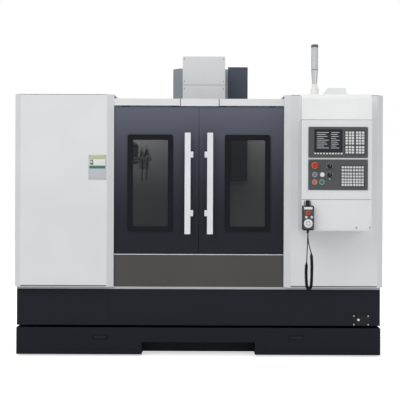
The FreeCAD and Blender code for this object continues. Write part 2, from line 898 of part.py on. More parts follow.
def build_controller():
    """The controller unit with its screen, softkeys and keypad."""
    block = unit_block(d.controller_low, d.controller_high)
    (x0, z0), (x1, z1) = SCREEN
    window = box((x0, panel_face - 1, z0), (x1, panel_face + 4, z1))
    pad_low, pad_high = (1022, 1473), (1168, 1640)
    pad_well = box((pad_low[0], panel_face - 1, pad_low[1]), (pad_high[0], panel_face + 3, pad_high[1]))
    strip_well = box((808, panel_face - 1, SOFTKEY_Z - 8), (1010, panel_face + 3, SOFTKEY_Z + 8))
    part("controller_unit", cut(block, window, pad_well, strip_well))
    part("screen", box((x0, panel_face + 2, z0), (x1, panel_face + 4, z1)))
    face = panel_face - d.key_proud
    base = box((pad_low[0], panel_face + 1, pad_low[1]), (pad_high[0], panel_face + 3, pad_high[1]))
    keys = key_blocks(KEY_COLUMNS, KEY_ROWS, 17, 14, panel_face + 1, face)
    strip = box((808, panel_face + 1, SOFTKEY_Z - 8), (1010, panel_face + 3, SOFTKEY_Z + 8))
    softkeys = key_blocks([x + 1 for x in SOFTKEYS], (SOFTKEY_Z,), 13, 11, panel_face + 1, face)
    part("controller_keys", group(fuse(base, *keys), fuse(strip, *softkeys)))


def build_machine_panel():
    """The machine panel with its bores, bezels and key sheet."""
    face = panel_face
    block = unit_block(d.panel_low, d.panel_top)
    bezels, bores = [], []
    clear = d.bore_clearance
    for name, (x, z) in CONTROLS.items():
        if name.endswith("button"):
            bezels.append(cylinder((x, face - 3, z), d.button_radius + 4, 3, "y"))
            bores.append(cylinder((x, face - 4, z), d.button_radius + 0.3, 16, "y"))
        if name == "panel_stop":
            bezels.append(cylinder((x, face - 3, z), d.stop_radius + 9, 3, "y"))
            bores.append(cylinder((x, face - 4, z), d.stop_radius - 7.7, 24, "y"))
        bores.append(cylinder((x, face - 5, z), d.shaft_radius + clear, 55, "y"))
    lamp = cylinder((919, face - 3, 1299), 5, 3, "y")
    pad_low, pad_high = (996, 1246), (1163, 1394)
    well = box((pad_low[0], face - 1, pad_low[1]), (pad_high[0], face + 3, pad_high[1]))
    part("machine_panel", cut(fuse(block, *bezels, lamp), *bores, well))
    base = box((pad_low[0], face + 1, pad_low[1]), (pad_high[0], face + 3, pad_high[1]))
    keys = key_blocks(PANEL_COLUMNS, PANEL_ROWS, 15, 15, face + 1, face - d.key_proud)
    part("machine_keys", fuse(base, *keys))


def build_panel_controls():
    """The stop button, four push buttons and two rotary switches of the machine panel."""
    face = panel_face
    r = d.shaft_radius
    for name, (x, z) in CONTROLS.items():
        shaft = cylinder((x, face - 1, z), r, 44, "y")
        if name.endswith("button"):
            cap = cylinder((x, face - d.button_reach, z), d.button_radius, d.button_reach + 6, "y")
            part(name, fuse(cap, shaft))
        elif name.endswith("stop"):
            head = cylinder((x, face - d.stop_reach, z), d.stop_radius, 14, "y")
            dome = cone((x, face - d.stop_reach - 4, z), d.stop_radius - 5, d.stop_radius, 4, "y")
            neck = cylinder((x, face - d.stop_reach + 14, z), d.stop_radius - 8, d.stop_reach - 6, "y")
            part(name, fuse(head, dome, neck, shaft))
        else:
            knob = cylinder((x, face - d.rotary_reach, z), d.rotary_radius, d.rotary_reach - 0.3, "y")
            grip = box((x - 3, face - d.rotary_reach - 6, z - 13), (x + 3, face - d.rotary_reach, z + 13))
            part(name, fuse(knob, grip, shaft))


def build_signal_lamp():
    """The signal lamp on the hood: collar, neck, clear taper and lens."""
    r = d.lamp_radius
    top = d.lamp_top - d.operator_high
    profile = [
        (0, 0),
        (r + 4, 0),
        (r + 4, 50),
        (r - 4, 58),
        (r - 8, 82),
        (r, 182),
        (r, top - 10),
        (r - 6, top),
        (0, top),
    ]
    part("signal_lamp", turned("signal_lamp_body", (d.lamp_x, box_front + 120, d.operator_high), profile))


def build_duct():
    """The sloped cable duct on the right cabinet's top plate."""
    low, high = d.cabinet_top, d.cabinet_top + d.duct_high
    outline = [(d.duct_left, low), (d.duct_right, low), (d.duct_right - 12, high), (d.duct_left + 54, high)]
    part("cable_duct", plate("duct_body", "y", d.cabinet_front + 12, -640, outline))


# ---------------------------------------------------------------- pendant and its cord

pendant_back = box_front - 8 - 0.3
pendant_face = pendant_back - d.pendant_thick
PENDANT_STOP = 1063
SELECTOR_Z = 1033
SELECTORS = {"axis_selector": -14, "step_selector": 24}


def build_pendant():
    """The handheld pulse generator: body with hook and strain relief, stop, two selectors and handwheel."""
    x, h = d.pendant_x, d.pendant_half
    outline = rectangle((x - h, d.pendant_low), (x + h, d.pendant_high))
    shell = plate("pendant_shell", "y", pendant_face, pendant_back, outline, (), 8)
    hook = box((x - 14, pendant_back - 6, d.pendant_high - 4), (x + 14, pendant_back, d.pendant_hook_high - 4))
    relief = cone((x, (pendant_face + pendant_back) / 2, d.pendant_low - 20), 6, 9, 21)
    bores = []
    for bx, bz in pendant_controls():
        bores.append(cylinder((bx, pendant_face - 1, bz), 3 + d.bore_clearance, 23, "y"))
    part("pendant_body", cut(fuse(shell, hook, relief), *bores))
    stop_shaft = cylinder((x, pendant_face - 6, PENDANT_STOP), 3, 20, "y")
    part("pendant_stop", fuse(cylinder((x, pendant_face - 18, PENDANT_STOP), 13, 12, "y"), stop_shaft))
    for name, offset in SELECTORS.items():
        knob = cylinder((x + offset, pendant_face - 12, SELECTOR_Z), 8, 11.7, "y")
        grip = box((x + offset - 2, pendant_face - 16, SELECTOR_Z - 7), (x + offset + 2, pendant_face - 12, SELECTOR_Z + 7))
        part(name, fuse(knob, grip, cylinder((x + offset, pendant_face - 2, SELECTOR_Z), 3, 20, "y")))
    wheel = cylinder((x, pendant_face - 12, d.wheel_z), d.wheel_radius, 11.7, "y")
    crank = cylinder((x + 17, pendant_face - 22, d.wheel_z + 8), 5, 11, "y")
    part("handwheel", fuse(wheel, crank, cylinder((x, pendant_face - 2, d.wheel_z), 3, 20, "y")))


def pendant_controls():
    """Where the pendant's shafts pass through its face: x and z."""
    places = [(d.pendant_x, PENDANT_STOP), (d.pendant_x, d.wheel_z)]
    places += [(d.pendant_x + offset, SELECTOR_Z) for offset in SELECTORS.values()]
    return places


CORD_RADIUS = 3.5
CURL_RADIUS = 12
LEAD_ROUTE = [(765, -1210.3, 921), (766, -1210.3, 890), (770, -1209, 852), (780, -1206, 815), (789, -1203, 785)]
CURL_ROUTE = [
    (789, -1203, 785),
    (794, -1201, 735),
    (795, -1199, 660),
    (793, -1198, 590),
    (790, -1197, 531),
    (763, -1179, 529),
    (759, -1178, 580),
    (757, -1177, 630),
    (758, -1177, 680),
    (761, -1177, 719),
]
RETURN_ROUTE = [(761, -1177, 719), (763, -1175, 760), (766, -1167, 812), (770, -1154, 868), (772, -1146, 916)]


def cord_path(route, name):
    """Straight runs joined by tangent arcs; prints each arc's radius and returns the wire and its length."""
    points = [Vector(*point) for point in route]
    edges, radii, length = [], [], 0.0
    start = points[0]
    for before, here, after in zip(points, points[1:], points[2:]):
        into, out = here - before, after - here
        turn = into.getAngle(out)
        radius = 0.45 * min(into.Length, out.Length) / math.tan(turn / 2)
        tangent = radius * math.tan(turn / 2)
        arc_start = here - into.normalize() * tangent
        arc_end = here + out.normalize() * tangent
        bisector = (out - into).normalize()
        centre = here + bisector * (radius / math.cos(turn / 2))
        middle = centre - bisector * radius
        edges.append(Part.LineSegment(start, arc_start).toShape())
        edges.append(Part.Arc(arc_start, middle, arc_end).toShape())
        length += (arc_start - start).Length + radius * turn
        radii.append(round(radius, 1))
        start = arc_end
    edges.append(Part.LineSegment(start, points[-1]).toShape())
    length += (points[-1] - start).Length
    print(name, "radii", radii, "length", round(length, 1))
    return Part.Wire(edges), length


def build_tube(label, route, radius):
    """A plain tube along a route, its volume compared with section times length."""
    path, length = cord_path(route, label)
    start = Vector(*route[0])
    direction = Vector(*route[1]) - start
    ring = Part.Wire([Part.Circle(start, direction, radius).toShape()])
    solid = path.makePipeShell([ring], True, False)
    print(label, "volume ratio", round(solid.Volume / (math.pi * radius**2 * length), 4))
    tube = doc.addObject("Part::Feature", label + "_tube")
    tube.Shape = solid
    return part(label, tube)


def build_cord():
    """The pendant's cord: a lead down, a curly hank and a return lead up to the gland under the box."""
    build_tube("cord_lead", LEAD_ROUTE, CORD_RADIUS)
    build_tube("curly_cord", CURL_ROUTE, CURL_RADIUS)
    build_tube("cord_return", RETURN_ROUTE, CORD_RADIUS)
    x, y, z = RETURN_ROUTE[-1]
    nut = cylinder((x, y, z), 9, d.operator_low - z)
    part("cord_gland", nut)


# ---------------------------------------------------------------- plates, tray, magazine, electrical cabinet


def build_plates():
    """The label plate on the left cabinet and the screwed plate with its knob on the skirt."""
    front = d.cabinet_front
    label = box((-804, front - 2, 1292), (-676, front, 1472))
    skirt = box((1134, d.door_front - 3, 227), (1255, d.door_front, 306))
    screws = [
        cylinder((x, d.door_front - 6, z), 4, 3, "y") for x in (1142, 1247) for z in (235, 298)
    ]
    knob = fuse(
        cylinder((1173, d.door_front - 20, 272), 10, 10, "y"), cylinder((1173, d.door_front - 10, 272), 5, 7, "y")
    )
    part("plates", group(label, fuse(skirt, *screws, knob)))


def build_cable_tray():
    """The cable tray up the column's right side."""
    x0, x1 = d.column_half, d.column_half + d.tray_width
    y0, y1 = d.column_front + 75, d.column_front + 75 + d.tray_depth
    low, high = 1300, d.column_top + 22
    outer = box((x0, y0, low), (x1, y1, high))
    inner = box((x0 + d.sheet, y0 + d.sheet, low - 1), (x1 - d.sheet, y1 + 1, high - d.sheet))
    part("cable_tray", cut(outer, inner))


magazine_top = d.nose_z + 116
arm_low = d.nose_z + 230
slide_half = 30


def build_magazine_arm():
    """The arm from the column that the tool magazine slides along."""
    y = d.spindle_y
    foot = box((-d.column_half - 20, d.column_front + 75, arm_low - 60), (-d.column_half, rear_wall - 6, arm_low + 110))
    forward = box((-d.column_half - 90, y, arm_low + 40), (-d.column_half - 10, rear_wall - 6, arm_low + 110))
    beam = box((-1010, y - slide_half, arm_low), (-d.column_half + 25, y + slide_half, arm_low + 80))
    part("magazine_arm", fuse(foot, forward, beam))


def build_magazine():
    """The sliding magazine: its housing, the carousel with open pockets and the tools in it."""
    x, y = d.carousel_x, d.spindle_y
    reach = d.pocket_circle + 60
    low = d.nose_z - 50
    drum = cylinder((x, y, low), reach, magazine_top - low)
    hollow = cylinder((x, y, low - 1), reach - d.sheet, magazine_top - low - 5)
    side = box((x + 150, y - reach - 1, low - 1), (x + reach + 1, y + reach + 1, magazine_top + 1))
    hub_bore = cylinder((x, y, magazine_top - 20), 15 + d.bore_clearance, 40)
    block = box((x - 60, y - slide_half - 8, magazine_top), (x + 60, y + slide_half + 8, arm_low + 30))
    groove = box(
        (x - 61, y - slide_half - 0.3, arm_low - 0.3), (x + 61, y + slide_half + 0.3, arm_low + 31)
    )
    motor = box((x - 190, y - 45, magazine_top), (x - 100, y + 45, magazine_top + 95))
    housing = fuse(cut(drum, hollow, side), cut(block, groove), motor)
    part("magazine_housing", cut(housing, hub_bore))
    disc_low, disc_high = d.nose_z - 28, d.nose_z - 10
    disc = cylinder((x, y, disc_low), d.pocket_circle + 15, disc_high - disc_low)
    hub = cylinder((x, y, disc_high), 45, magazine_top - 6.3 - disc_high)
    pin = cylinder((x, y, magazine_top - 7), 15, 20)
    pockets = [
        cylinder((px, py, disc_low - 1), d.tool_flange - 5.2, 20) for px, py in pocket_places(range(int(d.pocket_count.number)))
    ]
    part("carousel", fuse(cut(disc, *pockets), hub, pin))
    tools = []
    for number, (px, py) in zip(TOOL_POCKETS, pocket_places(TOOL_POCKETS)):
        tools.append(turned(f"tool_{number}", (px, py, d.nose_z), tool_profile(number)))
    part("tool_holders", group(*tools))


TOOL_POCKETS = (15, 2, 4, 6, 10, 12)


def pocket_places(numbers):
    """Centres of numbered pockets; pocket 0 faces the spindle."""
    places = []
    for number in numbers:
        angle = 2 * math.pi * number / d.pocket_count.number
        reach = d.pocket_circle
        places.append((d.carousel_x + reach * math.cos(angle), d.spindle_y + reach * math.sin(angle)))
    return places


def tool_profile(number):
    """Half section of a taper holder with its cutter: heights are from the gauge line."""
    flange = d.tool_flange
    neck = flange - 5.5
    chuck = 20 + number % 3 * 3
    cutter = 3 + number % 4 * 2
    return [
        (0, -190),
        (cutter, -190),
        (cutter, -100),
        (chuck, -95),
        (chuck, -37),
        (flange, -37),
        (flange, -28.3),
        (neck, -28.3),
        (neck, -9.7),
        (flange, -9.7),
        (flange, -2),
        (22.2, -2),
        (12.5, 65),
        (8, 65),
        (8, 92),
        (0, 92),
    ]


def build_electrical_cabinet():
    """The electrical cabinet on the column's back, its hinged door and the main switch."""
    x, rear = d.locker_half, d.machine_rear
    front = d.bed_rear
    seat = rear - d.locker_door
    outer = box((-x, front, d.locker_low), (x, seat - 0.3, d.locker_high))
    inner = box((-x + 2, front + 2, d.locker_low + 2), (x - 2, seat + 1, d.locker_high - 2))
    tray = box((-x + 60, front + 2, d.locker_low + 60), (x - 60, front + 8, d.locker_high - 60))
    axis, sleeve, reach = d.pivot_radius, d.pivot_sleeve, d.pivot_reach
    pivots, sleeves, sockets = [], [], []
    for end, sign in ((d.locker_low, 1), (d.locker_high, -1)):
        low, high = (end - 4, end) if sign > 0 else (end, end + 4)
        pivots.append(box((-x - sleeve, seat - 40, low), (-x + 16, rear + sleeve, high)))
        pivots.append(cylinder((-x, rear, end - 2 if sign > 0 else end - reach), axis, reach + 2))
        first = end + 0.3 if sign > 0 else end - 40
        sleeves.append(cylinder((-x, rear, first), sleeve, 39.7))
        sockets.append(cylinder((-x, rear, end - 1 if sign > 0 else end - reach - 1), axis + 0.3, reach + 2))
    part("electrical_cabinet", fuse(cut(outer, inner), tray, *pivots))
    shell = box((-x, seat, d.locker_low + 0.3), (x, rear, d.locker_high - 0.3))
    well = box((-x + 2, seat - 1, d.locker_low + 2), (x - 2, rear - 2, d.locker_high - 2))
    boss = box((x - 160, seat + 4, 1460), (x - 80, rear - 2, 1540))
    bore = cylinder((x - 120, seat, 1500), d.shaft_radius + d.bore_clearance, 40, "y")
    part("electrical_door", cut(fuse(cut(shell, well), boss, *sleeves), bore, *sockets))
    knob = cylinder((x - 120, rear + 0.3, 1500), 26, 14, "y")
    handle = box((x - 125, rear + 14, 1478), (x - 115, rear + 22, 1522))
    shaft = cylinder((x - 120, seat + 6, 1500), d.shaft_radius, 24, "y")
    part("main_switch", fuse(knob, handle, shaft))


# ---------------------------------------------------------------- build, check and write


def check_model():
    """Stop if any feature failed, or a sub-part has no valid solid."""
    for obj in doc.Objects:
        if "Invalid" in obj.State or "Error" in obj.State:
            raise RuntimeError(f"{obj.Name} ({obj.Label}) failed")
    for obj in SUBPARTS:
        if obj.Shape.isNull() or not obj.Shape.isValid() or not obj.Shape.Solids:
            raise RuntimeError(f"{obj.Label} has no valid solid")


def main():
    """Build every sub-part and write one STEP file for each."""
    build_bed()
    build_feet()
    build_column()
    build_rails()
    build_skirt()
    build_pan()
    build_tank()
    build_lower_panel()
    build_cabinets()
    build_rear_panels()
    build_header()
    build_door(-1, "left")
    build_door(1, "right")
    build_saddle()
    build_table()
    build_head()
    build_spindle()
    build_operator_box()
    build_hood()
    build_controller()
    build_machine_panel()
    build_panel_controls()
    build_signal_lamp()
    build_duct()
    build_pendant()
    build_cord()
    build_plates()
    build_cable_tray()
    build_magazine_arm()
    build_magazine()
    build_electrical_cabinet()
    doc.recompute()
    check_model()
    for obj in SUBPARTS:
        obj.Shape.exportStep(os.path.join("parts", obj.Label + ".step"))
    print(len(SUBPARTS), "sub-parts")


if __name__ == "__main__":
    main()
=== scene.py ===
"""A fully enclosed vertical machining centre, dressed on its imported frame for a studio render."""

import json
import logging
import math
from dataclasses import dataclass, field
from enum import Enum
from typing import Callable, Iterable, Sequence

import bmesh
import bpy
from mathutils import Matrix, Vector

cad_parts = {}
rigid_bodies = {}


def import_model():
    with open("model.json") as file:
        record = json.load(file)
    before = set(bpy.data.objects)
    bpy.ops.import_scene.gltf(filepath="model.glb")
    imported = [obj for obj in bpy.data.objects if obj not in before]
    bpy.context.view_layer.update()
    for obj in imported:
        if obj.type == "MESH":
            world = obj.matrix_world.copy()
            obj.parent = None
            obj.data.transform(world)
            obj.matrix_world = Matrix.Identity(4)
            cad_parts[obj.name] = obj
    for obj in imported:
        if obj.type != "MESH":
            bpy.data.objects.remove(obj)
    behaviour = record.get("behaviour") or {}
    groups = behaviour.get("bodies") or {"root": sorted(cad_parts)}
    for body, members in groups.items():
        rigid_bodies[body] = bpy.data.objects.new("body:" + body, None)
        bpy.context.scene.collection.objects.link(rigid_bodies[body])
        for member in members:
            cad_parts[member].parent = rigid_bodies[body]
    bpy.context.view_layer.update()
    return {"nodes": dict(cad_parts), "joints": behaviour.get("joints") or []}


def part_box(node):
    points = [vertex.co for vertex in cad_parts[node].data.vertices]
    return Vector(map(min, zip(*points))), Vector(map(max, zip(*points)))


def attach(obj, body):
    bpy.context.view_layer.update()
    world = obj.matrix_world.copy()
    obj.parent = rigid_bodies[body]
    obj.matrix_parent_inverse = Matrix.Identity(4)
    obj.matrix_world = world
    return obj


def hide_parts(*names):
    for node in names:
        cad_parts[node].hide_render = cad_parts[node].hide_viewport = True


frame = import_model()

logging.basicConfig(level=logging.INFO, format="%(message)s")
log = logging.getLogger("machining_center")

Point = tuple[float, float, float]
Colour = tuple[float, float, float]
Profile = Sequence[tuple[float, float]]
MM = 0.001
PATCH_SHADE = 0.955  # how dark the soft patches of a plain finish are
# painted reflection: the windows are made clearer in their upper part, so the top reads lighter, standing for
# the reflection there
GLASS_PAINTED_REFLECTION = 0.17  # how much clearer the windows are in their upper part
SHARP_ANGLE = math.radians(35)
DOOR_HALF = 0.6225  # half the width of the door opening


# ---------------------------------------------------------------- finishes


def linear(red: int, green: int, blue: int) -> Colour:
    """Turn display colour values, 0 to 255, into the linear values that shaders read.

    Args:
        red, green, blue: the display values.

    Returns:
        The linear colour.
    """

    def channel(value: int) -> float:
        """One channel's linear value."""
        unit = value / 255
        return unit / 12.92 if unit <= 0.04045 else ((unit + 0.055) / 1.055) ** 2.4

    return (channel(red), channel(green), channel(blue))


class Surface(Enum):
    """How a finish breaks up light: what its fine bump and roughness follow."""

    POWDER = "powder"
    ENAMEL = "enamel"
    BRUSHED = "brushed"
    MILLED = "milled"
    MOULDED = "moulded"
    SMOOTH = "smooth"
    GLASS = "glass"
    GLOWING = "glowing"


@dataclass(frozen=True)
class Finish:
    """A surface finish, from which a node material is built.

    Attributes:
        name: name of the material.
        colour: base colour, linear.
        surface: kind of fine texture.
        roughness: mean roughness.
        metallic: 1 for bare metal.
        painted_shade: colour towards the floor, if the finish darkens downwards as painted light and shade,
            lighter where light falls from above; linear.
        low: height in metres where the lower shade is full.
        high: height in metres where the upper colour is full.
        strength: light given off by a glowing finish, or how much glass covers.
        coat: weight of a clear coat.
        specular: how strongly it mirrors what is round it; 0.5 is plain plastic.
        curve: how late the lighter upper colour, painted light from above, comes in, as a power of the
            height.
    """

    name: str
    colour: Colour
    surface: Surface = Surface.POWDER
    roughness: float = 0.4
    metallic: float = 0.0
    painted_shade: Colour | None = None
    low: float = 0.0
    high: float = 1.0
    strength: float = 0.0
    coat: float = 0.0
    specular: float = 0.5
    curve: float = 1.0

    def material(self) -> bpy.types.Material:
        """Build the material once, and give it back each time after that."""
        label = "finish_" + self.name
        known = bpy.data.materials.get(label)
        if known:
            return known
        made = bpy.data.materials.new(label)
        made.use_nodes = True
        FinishNodes(self, made.node_tree).build()
        log.info("finish %s", self.name)
        return made


class FinishNodes:
    """Builds the node tree of one finish."""

    def __init__(self, finish: Finish, tree: bpy.types.NodeTree) -> None:
        """Keep the finish and its tree, with the shader that the tree starts with."""
        self.finish = finish
        self.tree = tree
        self.shader = tree.nodes["Principled BSDF"]
        self.place = self.node("ShaderNodeTexCoord").outputs["Object"]

    def node(self, kind: str, **values: object) -> bpy.types.Node:
        """Add a node.

        Args:
            kind: the node's type.
            values: its properties and input values, by name.

        Returns:
            The node.
        """
        made = self.tree.nodes.new(kind)
        for key, value in values.items():
            if key in made.inputs:
                made.inputs[key].default_value = value
            else:
                setattr(made, key, value)
        return made

    def link(self, source: bpy.types.NodeSocket, target: bpy.types.NodeSocket) -> None:
        """Join two sockets."""
        self.tree.links.new(source, target)

    def noise(self, scale: float, detail: float, stretch: Point = (1, 1, 1)) -> bpy.types.NodeSocket:
        """A noise value on object coordinates.

        Args:
            scale: how fine the noise is.
            detail: how many finer layers it has.
            stretch: scale along each axis.

        Returns:
            The noise value's socket.
        """
        mapping = self.node("ShaderNodeMapping")
        mapping.inputs["Scale"].default_value = stretch
        self.link(self.place, mapping.inputs["Vector"])
        noise = self.node("ShaderNodeTexNoise")
        noise.inputs["Scale"].default_value = scale
        noise.inputs["Detail"].default_value = detail
        self.link(mapping.outputs["Vector"], noise.inputs["Vector"])
        return noise.outputs["Fac"]

    def ranged(
        self, value: bpy.types.NodeSocket, low: float, high: float, start: float = 0.0, end: float = 1.0
    ) -> bpy.types.NodeSocket:
        """Map a value's range to another.

        Args:
            value: what is mapped.
            low, high: the new range.
            start, end: the old range.

        Returns:
            The mapped value's socket.
        """
        made = self.node("ShaderNodeMapRange")
        for key, number in (("From Min", start), ("From Max", end), ("To Min", low), ("To Max", high)):
            made.inputs[key].default_value = number
        self.link(value, made.inputs["Value"])
        return made.outputs["Result"]

    def mixed(self, factor: bpy.types.NodeSocket, first: Colour, second: Colour) -> bpy.types.NodeSocket:
        """Blend two colours.

        Args:
            factor: 0 for the first colour and 1 for the second.
            first, second: the colours.

        Returns:
            The blended colour's socket.
        """
        made = self.node("ShaderNodeMix", data_type="RGBA")
        made.inputs[6].default_value = (*first, 1)
        made.inputs[7].default_value = (*second, 1)
        self.link(factor, made.inputs[0])
        return made.outputs[2]

    def height(self) -> bpy.types.NodeSocket:
        """Height above the floor, in metres, at each place on the surface."""
        split = self.node("ShaderNodeSeparateXYZ")
        self.link(self.place, split.inputs["Vector"])
        return split.outputs["Z"]

    def bump(self, height: bpy.types.NodeSocket, strength: float, distance: float) -> None:
        """Use a height for the shader's normal.

        Args:
            height: what stands out, from 0 to 1.
            strength: how much of the bump is used.
            distance: height of the bump, in metres.
        """
        made = self.node("ShaderNodeBump")
        made.inputs["Strength"].default_value = strength
        made.inputs["Distance"].default_value = distance
        self.link(height, made.inputs["Height"])
        self.link(made.outputs["Normal"], self.shader.inputs["Normal"])

    def build(self) -> None:
        """Wire the tree for the finish's surface."""
        finish, shader = self.finish, self.shader
        shader.inputs["Base Color"].default_value = (*finish.colour, 1)
        shader.inputs["Roughness"].default_value = finish.roughness
        shader.inputs["Metallic"].default_value = finish.metallic
        shader.inputs["Coat Weight"].default_value = finish.coat
        shader.inputs["Specular IOR Level"].default_value = finish.specular
        if finish.surface is Surface.GLASS:
            self.build_glass()
            return
        if finish.surface is Surface.GLOWING:
            shader.inputs["Emission Color"].default_value = (*finish.colour, 1)
            shader.inputs["Emission Strength"].default_value = finish.strength
            return
        self.build_colour()
        self.build_grain()

    def build_colour(self) -> None:
        """Vary the base colour softly, and darken it downwards if the finish has a painted shade: painted
        light and shade, lighter at the top where light falls from above.
        """
        finish = self.finish
        if finish.painted_shade is None:
            patchy = self.ranged(self.noise(2.3, 2.0), 0.0, 1.0, 0.35, 0.65)
            darker = tuple(value * PATCH_SHADE for value in finish.colour)
            self.link(self.mixed(patchy, darker, finish.colour), self.shader.inputs["Base Color"])
            return
        # painted light and shade: lighter upper colour where light falls from above, painted shade towards
        # the floor
        rise = self.ranged(self.height(), 0.0, 1.0, finish.low, finish.high)
        late = self.node("ShaderNodeMath", operation="POWER")
        self.link(rise, late.inputs[0])
        late.inputs[1].default_value = finish.curve
        painted_light_colour = self.mixed(late.outputs["Value"], finish.painted_shade, finish.colour)
        self.link(painted_light_colour, self.shader.inputs["Base Color"])

    def build_grain(self) -> None:
        """Fine bump and roughness: orange peel, brushing, milling marks or moulded grain."""
        finish = self.finish
        grains = {
            Surface.POWDER: (620.0, (1, 1, 1), 0.10, 0.0004, 0.06),
            Surface.ENAMEL: (90.0, (1, 1, 1), 0.12, 0.0006, 0.08),
            Surface.BRUSHED: (260.0, (1, 1, 0.02), 0.03, 0.0001, 0.08),
            Surface.MILLED: (420.0, (0.03, 1, 1), 0.15, 0.0002, 0.12),
            Surface.MOULDED: (1500.0, (1, 1, 1), 0.12, 0.0002, 0.05),
            Surface.SMOOTH: (14.0, (1, 1, 1), 0.02, 0.0004, 0.04),
        }
        scale, stretch, strength, distance, spread = grains[finish.surface]
        self.bump(self.noise(scale, 2.0, stretch), strength, distance)
        smooth, dull = finish.roughness - spread, finish.roughness + spread
        rough = self.ranged(self.noise(7.0, 4.0), smooth, dull, 0.3, 0.7)
        self.link(rough, self.shader.inputs["Roughness"])

    def build_glass(self) -> None:
        """Tinted window glass: see-through, more so in its upper part as a painted reflection that makes the
        top read lighter, with a clean reflection.
        """
        finish = self.finish
        # painted reflection: less cover higher up lets the upper glass read lighter
        upper = finish.strength - GLASS_PAINTED_REFLECTION
        cover = self.ranged(self.height(), finish.strength, upper, finish.low, finish.high)
        self.link(cover, self.shader.inputs["Alpha"])


class Palette(Enum):
    """Every finish on the machine."""

    WHITE = Finish("white_powder", linear(226, 228, 230), Surface.POWDER, 0.42)
    WHITE_HOOD = Finish("hood_powder", linear(241, 242, 242), Surface.POWDER, 0.45)
    # painted light and shade: the door is lighter at the top, where light falls on it from above, and darker
    # towards the floor
    DOOR = Finish(
        "door_powder", linear(100, 104, 118), Surface.POWDER, 0.34,
        painted_shade=linear(31, 34, 43), low=0.80, high=1.85, specular=0.22, curve=2.2,
    )
    SKIRT = Finish("skirt_powder", linear(33, 36, 44), Surface.POWDER, 0.42, specular=0.12)
    TANK = Finish("tank_powder", linear(31, 34, 42), Surface.POWDER, 0.44, specular=0.12)
    LOWER = Finish("lower_powder", linear(80, 79, 78), Surface.POWDER, 0.38, specular=0.2)
    LIP = Finish("lip_powder", linear(182, 184, 186), Surface.POWDER, 0.42)
    CABINET = Finish("cabinet_powder", linear(206, 208, 209), Surface.POWDER, 0.45)
    CASTING = Finish("casting_enamel", linear(196, 199, 203), Surface.ENAMEL, 0.38)
    COLUMN = Finish("column_enamel", linear(150, 154, 163), Surface.ENAMEL, 0.42)
    TRAY = Finish("tray_powder", linear(78, 84, 98), Surface.POWDER, 0.45, specular=0.25)
    UNIT = Finish("unit_grey", linear(82, 84, 86), Surface.MOULDED, 0.5, specular=0.25)
    UNIT_INSET = Finish("unit_inset", linear(62, 64, 67), Surface.MOULDED, 0.5, specular=0.25)
    KEY = Finish("key_pale", linear(232, 233, 232), Surface.MOULDED, 0.5)
    MARK = Finish("key_mark", linear(120, 123, 128), Surface.SMOOTH, 0.5)
    TICK = Finish("tick_white", linear(225, 226, 224), Surface.SMOOTH, 0.45)
    SCREEN = Finish("screen_dark", linear(44, 48, 56), Surface.SMOOTH, 0.16, specular=0.3)
    SCREEN_LINE = Finish("screen_line", linear(205, 210, 212), Surface.GLOWING, 0.4, strength=0.4)
    BLACK = Finish("black_moulded", linear(24, 25, 28), Surface.MOULDED, 0.45, specular=0.3)
    GASKET = Finish("black_gasket", linear(24, 27, 33), Surface.MOULDED, 0.6, specular=0.12)
    RUBBER = Finish("cord_rubber", linear(18, 18, 20), Surface.MOULDED, 0.55, specular=0.2)
    RED = Finish("stop_red", linear(190, 30, 30), Surface.SMOOTH, 0.3, coat=0.1)
    YELLOW = Finish("stop_yellow", linear(214, 148, 52), Surface.MOULDED, 0.45)
    BUTTON_GREY = Finish("cap_grey", linear(108, 116, 132), Surface.SMOOTH, 0.3)
    BUTTON_WHITE = Finish("cap_white", linear(226, 230, 224), Surface.SMOOTH, 0.3)
    BUTTON_ORANGE = Finish("cap_orange", linear(196, 96, 40), Surface.SMOOTH, 0.3)
    BUTTON_GREEN = Finish("cap_green", linear(34, 118, 82), Surface.SMOOTH, 0.3)
    LAMP_CLEAR = Finish("lamp_clear", linear(206, 210, 212), Surface.SMOOTH, 0.24, metallic=0.2, coat=0.3)
    LAMP_WHITE = Finish("lamp_white", linear(236, 236, 232), Surface.MOULDED, 0.35)
    LAMP_DARK = Finish("lamp_cap", linear(92, 96, 100), Surface.MOULDED, 0.35)
    HANDLE = Finish("handle_aluminium", linear(240, 242, 247), Surface.BRUSHED, 0.4, metallic=0.3)
    CHROME = Finish("chrome", linear(214, 216, 220), Surface.SMOOTH, 0.14, metallic=1.0)
    STEEL = Finish("ground_steel", linear(205, 208, 213), Surface.BRUSHED, 0.36, metallic=0.5)
    ZINC = Finish("zinc_screw", linear(168, 170, 174), Surface.SMOOTH, 0.34, metallic=1.0)
    IRON = Finish("milled_iron", linear(150, 152, 156), Surface.MILLED, 0.34, metallic=0.9)
    # painted reflection: the glass is clearer from low to high, so its top reads lighter
    GLASS = Finish(
        "tinted_glass", linear(36, 39, 42), Surface.GLASS, 0.06,
        low=1.2, high=1.6, strength=0.62, specular=0.2,
    )
    LABEL_GREEN = Finish("label_green", linear(52, 118, 104), Surface.SMOOTH, 0.4)
    LABEL_LIME = Finish("label_lime", linear(188, 194, 152), Surface.SMOOTH, 0.4)
    LABEL_GREY = Finish("label_grey", linear(190, 193, 198), Surface.SMOOTH, 0.4)
    LED_GREEN = Finish("led_green", linear(120, 200, 150), Surface.GLOWING, 0.4, strength=0.5)
    FLOOR = Finish("studio_floor", linear(250, 250, 250), Surface.MOULDED, 0.7)

    @property
    def material(self) -> bpy.types.Material:
        """The finish's node material."""
        return self.value.material()


# ---------------------------------------------------------------- mesh building


def corners_of(low: Point, high: Point) -> tuple[Vector, Vector]:
    """The lowest and highest corner of a box given by any two opposite corners."""
    return Vector(map(min, low, high)), Vector(map(max, low, high))


